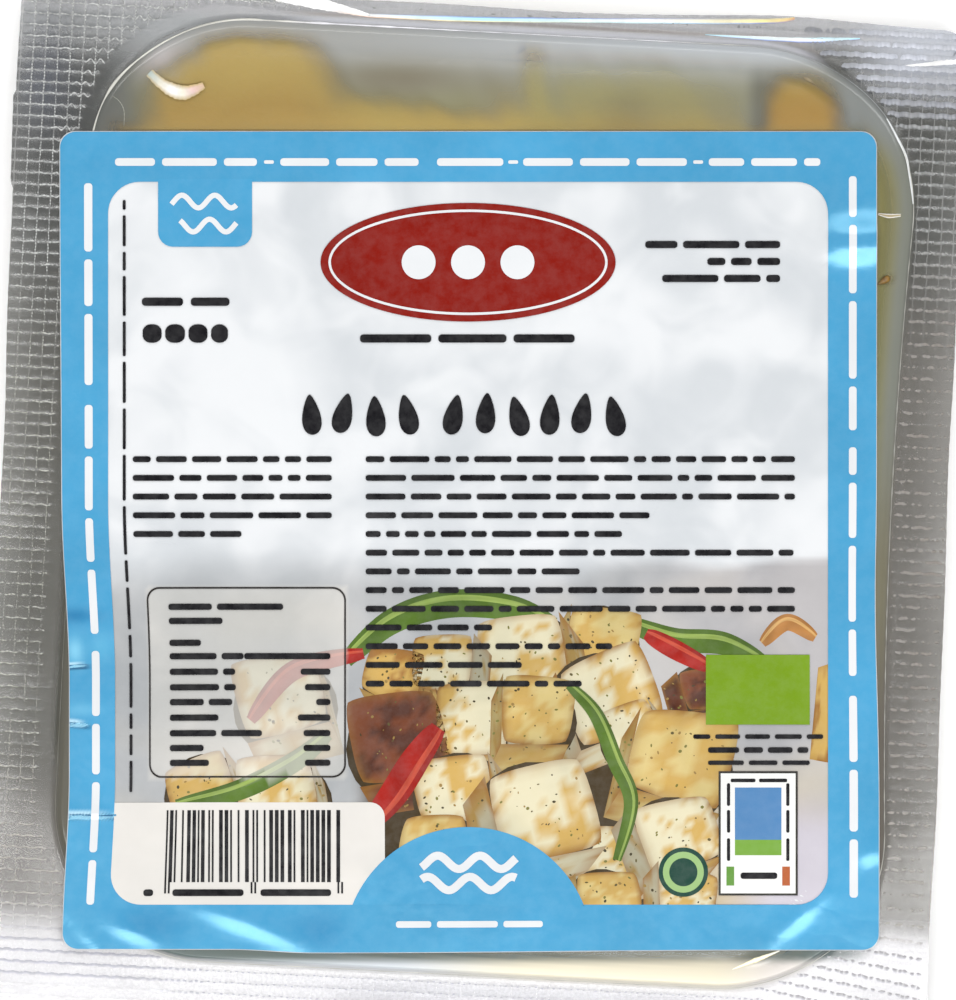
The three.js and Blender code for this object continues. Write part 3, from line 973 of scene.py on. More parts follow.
def build_edge_folds():
    """Painted highlights of fine sharp folds of the film, as thin opaque slivers: along the top, at the foot,
    inside one corner and down the right rim.
    """
    path = curve_points(((-55.9, 55), (-54.9, 54.3), (-54.2, 53), (-54.1, 50.8)), 120)
    along = linspace(0, 1, len(path))
    radius = 0.05 * sin(pi * clip(along, 0.02, 0.98)) ** 0.5 * (1 + 0.3 * sin(along * 70))
    tube("fold_corner", path, radius, 0.02, np.tile(srgb(168, 168, 156), (len(path), 1)),
         closed=False, sides=6)
    # tones of painted highlights: white, cyan, straw and rainbow glints
    bright, cyan, deep, grey = (252, 252, 252), (176, 232, 248), (76, 116, 214), (176, 176, 180)
    straw, orange, violet = (250, 234, 158), (222, 160, 112), (120, 84, 190)
    amber, pink, cream, silver_sheen = (190, 166, 108), (224, 192, 186), (236, 230, 212), (232, 235, 236)
    plain = (bright, bright)
    # name, points along the fold, widths, tones of its upper side, crest and lower side
    for fold in (
        ("fold_long", ((-20.5, 68.4), (-4.4, 68.7), (18.2, 69.7), (35.9, 70.6), (40.1, 71.2)),
         (0.5, 0.75, 0.62, 0.8, 0.7, 0.3), (grey, deep, grey, straw), (bright, cyan, bright, straw, orange),
         (orange, straw, cyan, deep, orange)),
        ("fold_short", ((27.5, 68.2), (41, 68.15), (49.5, 68.8)), (0.08, 0.6, 0.7, 0.2),
         (grey, bright, cyan, grey), (cyan, bright, cyan), (grey, deep, deep, violet)),
        ("fold_corner_right", ((55.6, 65.2), (59, 65.6), (63.6, 66.4)), (0.1, 0.5, 1), plain, plain, plain),
        ("fold_head_left", ((-33.5, 70.6), (-28, 69.8), (-24, 69.1), (-20, 68.35)), (1.7, 1.7, 1.2, 0.4),
         plain, plain, (bright, bright, orange)),
        ("fold_foot", ((38.2, -64), (41.5, -62.5), (44.8, -61)), (0.1, 0.7, 0.12),
         (straw, straw), plain, (straw, straw)),
        ("fold_lid", ((-50.9, 58.6), (-49.2, 57.2), (-47.5, 56.3), (-46, 56), (-44.6, 56.4), (-43.1, 57.2)),
         (1.2, 1.5, 2, 2.1, 1.6, 0.9), (amber, amber),
         ((168, 190, 186), cream, bright, cream, pink, (206, 176, 140)), (amber, amber)),
        ("fold_lid_right", ((53.3, 44), (54.8, 43.8), (56.5, 44)), (0.25, 0.6, 0.35), plain,
         ((150, 130, 84), (170, 156, 118)), plain),
        ("fold_rim_right", ((53.8, 57.6), (55.1, 55.5), (56.8, 52.4), (57.6, 49), (58.2, 45.7)),
         (0.12, 0.34, 0.3, 0.16), *[(silver_sheen, silver_sheen)] * 3),
    ):
        streak(*fold)


# ---- contents ----
def tofu_inset(x, y):
    """How far the slab's upper edge stands in from the rim."""
    return 2.5 + 0.35 * sin(x / 7) * cos(y / 9) + smooth(20, 50, y) * (
        1.2 * hill(x, y, (-6, 66), (13, 40)) - 1.1 * hill(x, y, (-38, 66), (14, 40)))


def tray_inset(z):
    """How far the tray's drafted wall and rounded floor edge stand in from the rim at a height."""
    top = LID_Z - 1.5
    wall = NECK_R + (WALL_IN - NECK_R) * clip((top - z) / (top - FLOOR_R), 0, 1)
    up = clip(1 - (z - LIFT) / FLOOR_R, 0, 1)
    return wall + FLOOR_R * (1 - np.sqrt(1 - up * up))


def build_tofu():
    """The slab: a rounded pressed block with a slightly pitted skin, held inside the tray's wall."""
    rings = []
    height = TOFU_TOP - TOFU_BOTTOM
    base = pocket_ring(0)
    inward = pocket_ring(2) - base
    inward /= maximum(np.linalg.norm(inward, axis=1), 1e-6)[:, None]
    upper = tofu_inset(*base.T)

    def profile(extra, z):
        drafted = upper + (WALL_IN - 2) * (TOFU_TOP - z) / height + extra
        return base + inward * maximum(drafted, tray_inset(z) + 0.4)[:, None]

    def add(extra, z, share=1):
        points = profile(extra, z) * share
        rings.append(column_stack([points, np.full(len(points), z)]))

    for share in (0.12, 0.3, 0.45, 0.58, 0.7, 0.8, 0.88, 0.94, 0.98):
        add(TOFU_EDGE, TOFU_TOP, share)
    for s, c in quarter():
        add(TOFU_EDGE * (1 - s), TOFU_TOP - TOFU_EDGE * (1 - c))
    for t in linspace(0.15, 0.85, 6):
        add(0, TOFU_TOP - TOFU_EDGE - (height - TOFU_EDGE - TOFU_FOOT_R) * t)
    for s, c in quarter():
        add(TOFU_FOOT_R * (1 - c), TOFU_BOTTOM + TOFU_FOOT_R * (1 - s))
    for share in (0.97, 0.92, 0.85, 0.75, 0.6, 0.45, 0.3, 0.12):
        add(TOFU_FOOT_R, TOFU_BOTTOM, share)
    points = vstack([*rings, [0, 0, TOFU_TOP], [0, 0, TOFU_BOTTOM]])
    for i, p in enumerate(points):
        swell = sum(noise.noise(Vector(p * scale)) * by
                    for scale, by in ((0.16, 0.22), (0.55, 0.08), (1.9, 0.035)))
        out = Vector((p[0] / 58, p[1] / 67, (p[2] - 4.8) / 4.6)).normalized()
        points[i] = p + array(out) * swell
    x, y, z = points.T
    z[:] = minimum(z, minimum(TOFU_TOP, film_z(x, y) - 0.14))
    u, v = label_axes(x, y)
    h = v - LABEL_L / 2
    amber = blend(smooth(1, 10, h), (158, 130, 62), (176, 154, 84))
    amber = blend(smooth(-26, -12, u), amber, (170, 150, 80))
    olive = blend(smooth(0, 6, h), (146, 134, 72), (172, 164, 98))
    olive = blend(0.7 * hill(u, h, (22.3, 1.5), (3.6, 3.2)), olive, (112, 100, 58))
    tones = coats(
        blend(smooth(2, 12, u), amber, olive),
        (smooth(40, 43, u), blend(smooth(1, 9, h), (160, 124, 50), (172, 148, 74))),
        (smooth(52, 56, u), (142, 136, 84)),
        (smooth(6, -8, h), blend(smooth(50, 56, u), (196, 168, 96), (142, 136, 84))),
        (1 - smooth(3, 8.4, z), (222, 204, 152)),
    )
    faces = ring_faces(len(rings), len(base), len(points) - 2, len(points) - 1)
    return make("tofu_slab", points, faces, TOFU, tones, gold=where(z > 8.4, 0.25, 1))


def seed_shape(length):
    """A flat drop-shaped sesame seed as points and faces, tip at +x."""
    rows, cols = 6, 8
    turn = -2 * pi * arange(cols) / cols
    points = []
    for t in arange(1, rows + 1) / (rows + 1):
        w = length / 2 * sin(pi * t ** 0.72) ** 0.8 * (1 - 0.42 * t)
        points += [(length * (t - 0.5), 0.56 * w * cos(a), 0.3 * w * sin(a)) for a in turn]
    points += [(-length / 2, 0, 0), (length / 2, 0, 0)]
    return array(points), ring_faces(rows, cols, rows * cols, rows * cols + 1)


def scatter_seeds(name, material, number, seed, size, slab, extra=()):
    """Seeds set flat into the slab's skin, and extra ones at given places."""
    rng = random.Random(seed)
    polys = [p for p in slab.data.polygons if p.area > 1e-9 and p.normal.z < 0.35]
    points, faces = [], []

    def put(at, normal, turn, k):
        shape, shape_faces = seed_shape(size * k)
        basis = Vector(normal).to_track_quat("Z", "Y").to_matrix()
        c, s = cos(turn), sin(turn)
        x, y, z = shape.T
        local = column_stack([x * c - y * s, x * s + y * c, z])
        faces.extend([[i + len(points) for i in f] for f in shape_faces])
        points.extend((local @ array(basis).T + array(at)).tolist())

    for p in rng.choices(polys, [p.area for p in polys], k=number):
        at = array(p.center) * 1000 - array([*ORIGIN, 0])
        sunk = 0.02 if p.normal.z > -0.5 else -0.3
        put(at + array(p.normal) * sunk, p.normal, rng.uniform(0, 6.28), rng.uniform(0.8, 1.1))
    for given in extra:
        put(*given)
    make(name, points, faces, material)


# ---- label ----
BLUE, RED, GREEN = srgb(72, 154, 198), srgb(132, 18, 3), srgb(116, 151, 24)
BLACK, WHITE, WARM_WHITE = srgb(14, 13, 18), srgb(221, 223, 225), srgb(221, 217, 211)
FOOT_MID = (-0.2, -58.3)  # middle of the half-round foot
OVAL_MID = (-0.2, 39.4)


def creases(u, v):
    """Sharp creases, a slow rise above a line and a quick drop below it: height, and the shares of painted
    highlight on the lit side and painted shade on the shaded side.
    """
    z, lit, shaded = 0, 0, 0
    for at, length, width, rise, turn in CREASES:
        c, s = cos(turn), sin(turn)
        a, b = (u - at[0]) * c + (v - at[1]) * s, -(u - at[0]) * s + (v - at[1]) * c
        side = where(b > 0, maximum(1 - b / width, 0), maximum(1 + b / 0.35, 0))
        z = z + rise * smooth(length, 0.4 * length, a) * side
        above = smooth(width, 0.3 * width, b) * smooth(-0.1, 0.1, b)
        below = smooth(0.1, -0.1, b) * smooth(-0.85, -0.6, b)
        lit = maximum(lit, smooth(0.75 * length, 0.2 * length, a) * above)
        shaded = maximum(shaded, smooth(length, 0.6 * length, a) * below)
    return z, lit, shaded


def on_label(u, v, lift=0):
    """Points of the pack's frame for places on the label, measured from its middle."""
    u, v = np.asarray(u, float), np.asarray(v, float)
    c, s = cos(LABEL_TURN), sin(LABEL_TURN)
    x = LABEL_AT[0] + u * c - v * s
    y = LABEL_AT[1] + u * s + v * c
    # the cut edges wander a little: up the left side, in at its middle, up the right side, along the foot
    left, right, foot = -LABEL_W / 2, LABEL_W / 2, -LABEL_L / 2
    x = x + 0.4 * (smooth(70, -20, v) - 1) * smooth(left + 6, left, u)
    x = x + smooth(6, -20, v) * smooth(foot, -33, v) * smooth(left + 24, left + 7, u)
    x = x + (0.35 * smooth(-14, -38, v) - 0.2 * hill(v, 0, (-8, 0), (10, 1))) * smooth(right - 6, right, u)
    y = y - (0.5 - 0.4 * smooth(-20, 42, u)) * smooth(-34, -22, u) * smooth(foot + 7, foot, v)
    wave = 0.05 * sin(u / 6.1 + v / 14) * cos(v / 7.3 - u / 19)
    folds = sum(rise * hill(u, v, at, reach, turn) for at, reach, turn, rise in LABEL_FOLDS)
    z = drape_z(x, y, 4.2)
    z = z + (LID_Z - z) * STAND_OFF * smooth(-38, -50, v) + 0.03 + wave + folds + creases(u, v)[0] + lift
    return column_stack([x, y, z])


def build_label_sheet():
    """Top, edge and underside of the label as one thin sheet."""
    w, h = LABEL_W / 2, LABEL_L / 2
    insets = [*arange(0.5, 57, 0.62)[::-1], 0.06, 0]
    rings = [on_label(*ring(-w + i, w - i, -h + i, h - i, LABEL_R - i, 150, 150, 6).T, lift)
             for i, lift in [(i, LABEL_T) for i in insets] + [(i, 0) for i in (0, 3, 10, 25, 45, 57)]]
    points = vstack([*rings, rings[0].mean(0), rings[-1].mean(0)])
    faces = ring_faces(len(rings), len(rings[0]), len(points) - 2, len(points) - 1)
    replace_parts(make("label_sheet", points, faces, PAPER, WHITE, "label_print"), "label")


class Print:
    """Flat printed shapes gathered into one piece, laid just over the label."""

    def __init__(self, name, lift, ink=PRINT_INK):
        self.name, self.lift, self.ink = name, lift, ink
        self.points, self.faces, self.colours = [], [], []

    def add(self, uv, faces, colour, lift=0):
        start = len(self.points)
        uv = np.asarray(uv, float)
        self.points += on_label(*uv.T, LABEL_T + self.lift + lift).tolist()
        self.faces += [[i + start for i in f] for f in faces]
        colour = srgb(*colour) if isinstance(colour, tuple) else colour
        self.colours += np.broadcast_to(colour, (len(uv), 3)).tolist()

    def blob(self, outline, colour, lift=0, steps=1):
        """A filled outline that is star-shaped about its middle."""
        mid = outline.mean(0)
        rings = [mid + (outline - mid) * t for t in linspace(1 / steps, 1, steps)]
        self.add(vstack([*rings, mid]), ring_faces(steps, len(outline), steps * len(outline)), colour, lift)

    def disc(self, mid, radius, colour, lift=0, steps=2, n=48):
        self.blob(ellipse(mid, np.broadcast_to(radius, 2), n), colour, lift, steps)

    def box(self, u0, v0, u1, v1, colour, lift=0, r=0):
        """A rectangle, with round corners if r is given."""
        wide, high = u1 - u0, v1 - v0
        long = max(wide, high)
        k = max(1, round(long / 1.2))
        nx, ny = max(1, round(wide / long * k)), max(1, round(high / long * k))
        if r:
            self.blob(ring(u0, u1, v0, v1, r, nx, ny, 6), colour, lift, max(1, round(min(wide, high) / 2.4)))
        else:
            self.add(grid(u0, v0, u1, v1, nx, ny), grid_faces(nx, ny), colour, lift)

    def stroke(self, line, width, colour, lift=0):
        """A flat stroke of changing width along a line of points."""
        width = np.broadcast_to(width, len(line))
        across = sideways(line) * width[:, None] / 2
        rows = 2 if width.max() < 0.7 else 4
        rails = [line + across * t for t in linspace(1, -1, rows)]
        self.add(concatenate(rails), grid_faces(len(line) - 1, rows - 1)[:, ::-1], colour, lift)

    def bar(self, u0, u1, v, thick, colour=BLACK, upright=False):
        """One bar with rounded ends, in short steps so that it follows the label's folds."""
        r = min(thick * 0.45, (u1 - u0) / 2)
        turn = radians(linspace(8, 90, 6))
        ends, widths = r * (1 - cos(turn)), thick * (0.2 + 0.8 * sin(turn))
        inner = linspace(u0 + r, u1 - r, max(2, -int((2 * r - u1 + u0) // 0.45)) + 1)[1:-1]
        along = concatenate([u0 + ends, inner, (u1 - ends)[::-1]])
        width = concatenate([widths, np.full(len(inner), thick), widths[::-1]])
        across = np.full(len(along), v)
        self.stroke(column_stack([across, along] if upright else [along, across]), width, colour)

    def words(self, u0, u1, v, thick, rng, word=(1.5, 6.2), gap=0.75, colour=BLACK, upright=False):
        """A line of plain word-long bars that fills u0 to u1."""
        u = u0
        while u1 - u > 1.4 * thick:
            end = min(u + rng.uniform(*word), u1)
            if u1 - end < gap + max(1, 1.6 * thick):
                end = u1
            self.bar(u, end, v, thick, colour, upright)
            u = end + gap

    def ripple(self, u0, u1, n, v, height, pace, shift, width):
        u = linspace(u0, u1, n)
        self.stroke(column_stack([u, v + height * sin(u * pace + shift)]), width, WHITE)

    def piece(self):
        make(self.name, self.points, self.faces, self.ink, array(self.colours), "label_print")


def grid(u0, v0, u1, v1, nu, nv):
    """Points of a sheet, row after row."""
    return array([(u, v) for v in linspace(v0, v1, nv + 1) for u in linspace(u0, u1, nu + 1)])


def blue_ink(uv):
    """The frame's blue, a little uneven, with painted light and shade beside its soft folds and creases."""
    u, v = uv.T
    tone = BLUE * (1 + 0.1 * cloud(uv, (0.07, 0.07), 4))[:, None]
    tone = coats(tone, *[(share * hill(u, v, at, reach), ink) for at, reach, share, ink in PAINTED_FOLD_SHADES])
    _, lit, shaded = creases(u, v)
    return coats(tone, (0.8 * lit, (206, 240, 252)), (0.85 * shaded, (20, 74, 116)))


def build_fields():
    """The blue frame with its tab and half-round foot, and painted shadow strokes along its creases."""
    sheet = Print("print_fields", 0.2, BLUE_INK)
    w, h = LABEL_W / 2 - 0.12, LABEL_L / 2 - 0.12
    outer = ring(-w, w, -h, h, LABEL_R, 200, 560, 10)
    inner = ring(-51.2, 50.8, -51.6, 50.8, 4.5, 200, 560, 10)
    uv = concatenate([outer + (inner - outer) * t for t in linspace(0, 1, 15)])
    sheet.add(uv, ring_faces(15, len(outer)), blue_ink(uv))
    sheet.box(-44.1, 41.6, -30.8, 50.9, BLUE, r=2.1)
    sheet.box(-44.1, 48, -30.8, 51.2, BLUE, 0.003)
    sheet.blob(arc(FOOT_MID, (17.7, 17.7), 21.5, 158.5, 48), BLUE, 0, 5)
    # painted shadow: a thin dark stroke along each crease
    for at, length, width, _, turn in CREASES:
        t = linspace(0.04, 0.72, 30)[:, None] * length
        line = array(at) + t * (cos(turn), sin(turn)) + column_stack([0 * t, 0.1 * sin(t) - 0.12])
        sheet.stroke(line, 0.34 * width, (26, 92, 138), 0.004)
    sheet.piece()


def build_signs():
    """Plain fields for the signs: oval, green field, badge, ring and the stripes' white ground."""
    sheet = Print("print_signs", 0.2)
    sheet.disc(OVAL_MID, (20.9, 8.4), RED, steps=6, n=120)
    # left, bottom, right, top, colour and layer of each box
    for u0, v0, u1, v1, ink, step in (
        (33.5, -26.1, 48.2, -16.2, GREEN, 0), (35.3, -50.3, 46.5, -32.7, (52, 50, 46), 0),
        (35.6, -50, 46.2, -33, (232, 232, 228), 1), (37.6, -42.4, 44.2, -35, (82, 130, 178), 2),
        (37.6, -44.6, 44.2, -42.4, (116, 160, 60), 2), (36.4, -48.9, 37.5, -46.2, (98, 146, 62), 2),
        (44.3, -48.9, 45.4, -46.2, (176, 92, 50), 2),
    ):
        sheet.box(u0, v0, u1, v1, ink, 0.004 * step)
    for step, (r, ink) in enumerate(((3.5, (24, 66, 54)), (2.9, (150, 184, 120)), (2, (24, 66, 54)))):
        sheet.disc((30.3, -47), r, ink, 0.004 * step)
    left, right, low_v, high_v, r = -51.3, -12, -51.7, -37.1, 2.1
    corner = arc((right - r, high_v - r), (r, r), 90, 0, 8)
    bite = arc(FOOT_MID, (17.6, 17.6), 132, 156, 8)  # cut by the foot
    ground = vstack([[(left, v) for v in linspace(low_v, high_v, 12)],
                     [(u, high_v) for u in linspace(left, corner[0][0], 24)[1:-1]], corner,
                     bite, [(u, low_v) for u in linspace(-16.6, left, 20)[:-1]]])
    sheet.blob(ground, WARM_WHITE, -0.04, 8)
    sheet.piece()


def build_marks():
    """Bars and drops in the places of the lettering."""
    rng = random.Random(21)
    sheet = Print("print_marks", 0.26)
    # white bars on the frame
    for u0, u1 in ((-50.2, -30.1), (-26.8, -7.2), (-4.6, 4.8), (7.6, 30.8), (33.9, 49.7)):
        sheet.words(u0, u1, 53.6, 1.1, rng, (5, 9), 1, WHITE)
    for u in (-28.4, 6.2, 32.4):
        sheet.bar(u - 0.7, u + 0.7, 53.6, 0.5, WHITE)
    for v0, v1 in ((-51.6, -15.6), (-13.2, 19.2), (22, 50.6)):
        sheet.words(v0, v1, -53.9, 1.1, rng, (6, 11), 1.1, WHITE, True)
        sheet.words(-v1, -v0, 54.3, 1.1, rng, (6, 11), 1.1, WHITE, True)
    sheet.words(-35.6, 48.2, -48.9, 0.42, rng, (2, 7), 0.8, upright=True)
    # ripples on the tab and on the foot, and a short line under them
    for k, v in enumerate((48, 44.6)):
        sheet.ripple(-42.2 + 1.2 * k, -33, 40, v, 0.9, 1.35, k, 0.75)
    for k, v in enumerate((-45.6, -48.6)):
        sheet.ripple(-6.8, 6.6, 50, v, 0.95, 1.05, k * 1.5, 1.15)
    sheet.words(-10.4, 10.4, -54.2, 0.85, rng, (4, 9), 0.8, WHITE)
    # oval: white line and three discs
    rim = ellipse(OVAL_MID, (19.6, 7.3), 120)
    sheet.stroke(vstack([rim, rim[:1]]), 0.35, WHITE)
    for u in (-7.2, -0.2, 6.8):
        sheet.disc((u, OVAL_MID[1]), 2.4, WHITE, n=40)
    sheet.words(-15.5, 14.9, 28.6, 1.15, rng, (6, 16), 1)
    # title: two groups of black drops
    a = radians(linspace(0, 350, 36))
    half, width = 2.85 * cos(a), 1.28 * sin(a) * (1 - 0.42 * cos(a))
    for u0, number in ((-22.4, 4), (-2.2, 6)):
        for k in range(number):
            lean = radians(14 * sin(k * 1.9 + u0))
            c, s = cos(lean), sin(lean)
            drop = column_stack([u0 + k * 4.55 + width * c - half * s,
                                 17.8 + 0.25 * sin(k * 2.1) + width * s + half * c])
            sheet.blob(drop[::-1], BLACK, 0, 2)
    # three lines at the upper right, set to the right, and the weight at the left
    for v, length in ((41.9, 19.1), (39.5, 10.3), (37.1, 16.7)):
        sheet.words(44 - length, 44, v, 1, rng, (2.4, 8), 0.8)
    sheet.words(-46.4, -34, 33.8, 1.15, rng, (5, 6.5), 1.1)
    for u0, u1 in ((-46.3, -43.6), (-43.1, -40.3), (-39.8, -37.1), (-36.6, -34.2)):
        sheet.bar(u0, u1, 29.3, 2.6)
    # left and right paragraphs
    pitch, top = 2.65, 11.5
    for k in range(5):
        sheet.words(-47.7, -19.5 if k < 4 else -32.3, top - k * pitch, 0.82, rng)
    lengths = (60.8, 60.8, 60.8, 40.2, 36.3, 60.6, 30.3, 60.8, 60.8, 17.9, 34.9, 22.1, 30.6)
    for k, length in enumerate(lengths):
        sheet.words(-14.7, -14.7 + length, top - k * pitch, 0.82, rng)
    # table rows: height, lengths of name and value
    for v, name, value in (
        (-9.4, 16.6, 0), (-11.4, 8, 0), (-14.5, 4.8, 0), (-16.4, 11, 12.2), (-18.6, 9.8, 4.2),
        (-20.8, 9.9, 3.6), (-22.9, 9.4, 2), (-25.1, 7.4, 4.6), (-27.3, 13.6, 3.8), (-29.4, 5.2, 3.8),
        (-31.5, 6, 3.6),
    ):
        sheet.words(-43, -43 + name, v, 0.86, rng, (4, 9))
        if value:
            sheet.bar(-19.7 - value, -19.7, v, 0.85)
    # lines under the green field and on the badge
    for v, u0, u1, thick, word, gap in (
        (-27.8, 31.7, 50.1, 0.62, (2.4, 6), 0.7), (-29.7, 33.8, 48, 0.78, (2.4, 6), 0.7),
        (-31.5, 33.8, 48.2, 0.6, (2.4, 6), 0.7), (-47.5, 38.4, 43.6, 0.9, (5, 6), 0.75),
        (-34, 37, 45, 0.5, (2.4, 4), 0.5),
    ):
        sheet.words(u0, u1, v, thick, rng, word, gap)
    for v0 in (-45.4, -41.4, -37.6):
        for u in (36.7, 45.1):
            sheet.words(v0, v0 + 3.2, u, 0.45, rng, (2, 3.4), 0.4, upright=True)
    sheet.piece()


def build_stripes():
    """Upright stripes of random width, which mean nothing, with plain bars at their foot."""
    rng = random.Random(7)
    sheet = Print("print_stripes", 0.26)
    u, unit = -43.4, 0.264
    while u < -18.4:
        black = rng.choice((1, 1, 1, 2, 2, 3)) * unit
        sheet.box(u, -48.4, min(u + black, -18.2), -38.2, BLACK)
        u += black + rng.choice((1, 1, 2, 2, 3)) * unit
    for at in (-43.4, -31, -18.7):  # longer pairs of stripes
        for step in (0, 2):
            sheet.box(at + step * unit, -50, at + (step + 1) * unit, -48.4, BLACK)
    for u0, u1 in ((-46.4, -45), (-42.2, -32), (-29.6, -19.6)):
        sheet.bar(u0, u1, -49.9, 0.95)
    sheet.piece()


# ---- the printed serving picture ----
TABLE_BOX = (-46.2, -33.6, -17.5, -6.6)  # left, bottom, right, top on the label
LEVEL = 0.003  # one layer of the picture over the next, mm
CREAM, PALE_GOLD = srgb(218, 210, 178), srgb(212, 190, 126)
GOLD, TOAST = srgb(200, 164, 90), srgb(158, 110, 50)
GAP = srgb(66, 52, 28)
LEAF, PALE_LEAF = srgb(84, 112, 38), srgb(142, 164, 82)
PEPPER, PALE_PEPPER = srgb(162, 30, 20), srgb(190, 74, 52)
# light tone, toasted tone and share of toast for each kind of cube
CUBE_LOOKS = ((CREAM, GOLD, 0.44), (PALE_GOLD, GOLD, 0.55), (GOLD, TOAST, 0.42),
              (srgb(122, 68, 44), srgb(84, 44, 28), 0.5))
# cubes from the back of the heap to its front: place, size, turn, look
HEAP_ROWS = (
    ((18.6, -13.4, 9.4, -0.2, 1), (7.2, -16, 13, 0.1, 0), (-27.5, -22, 12, 0.2, 0)),
    ((20.2, -21.2, 13, 0.4, 0), (-11.6, -19, 8, -0.3, 2), (34, -21, 7, 0.3, 3),
     (-3.6, -17.2, 8.6, -0.12, 0)),
    ((0.2, -25.2, 9.8, 0.05, 0), (9.8, -24.4, 10.2, -0.05, 1), (-10.8, -27.8, 13.6, 0.2, 3),
     (-38, -35, 10.5, 0.3, 1)),
    ((22.6, -27, 8.6, 0.3, 0), (30.2, -30.4, 13.6, -0.22, 1), (-2.2, -35, 11, 0.15, 0),
     (-27, -36, 11.4, 0.1, 0)),
    ((-4.8, -43.5, 10.4, 0, 1), (29.4, -42, 11, 0.3, 0), (20.8, -44.8, 9.6, 0.1, 0)),
    ((10.4, -38.6, 14.6, 0.2, 0), (20.2, -50, 8, 0.1, 1), (31, -50.2, 8, -0.1, 0)),
)
# slices of pepper and leaf on a row of the heap, and behind it: points, width, tone, paler line
SLICES = {
    None: (([(-17.5, -17), (-11, -11.5), (-3, -9), (6, -9.6), (12, -12)], 4, LEAF, PALE_LEAF),
           ([(22, -11.5), (29, -14), (36, -14.6), (42, -17.5)], 3.4, LEAF, PALE_LEAF),
           ([(41.5, -14.6), (45, -11.6), (49, -13.8)], 2.4, srgb(176, 122, 66), srgb(204, 160, 100))),
    1: (([(25, -13.2), (29, -15.4), (34, -18)], 2.8, PEPPER, PALE_PEPPER),
        ([(-31, -25.5), (-25, -18.5), (-15, -16)], 2.8, PEPPER, PALE_PEPPER)),
    3: (([(-42, -37.5), (-33, -35.5), (-25, -31.5), (-20, -27.5)], 3, LEAF, PALE_LEAF),
        ([(-4.4, -26.5), (-7.6, -31), (-10.8, -36), (-14, -40)], 4.2, PEPPER, PALE_PEPPER)),
    5: (([(14.1, -20.5), (17.9, -24.6), (20.6, -31.1), (22.9, -37.1), (20.9, -45.3)], 2.3, LEAF, PALE_LEAF),),
}


def behind_box(uv, tones):
    """Picture tones, paled where the table's clear panel lies over them."""
    left, bottom, right, top = TABLE_BOX
    u, v = uv.T
    inside = (smooth(left - 0.2, left + 0.2, u) * smooth(right + 0.2, right - 0.2, u)
              * smooth(bottom - 0.2, bottom + 0.2, v) * smooth(top + 0.2, top - 0.2, v))
    return blend(inside * 0.55, tones, (218, 214, 206))


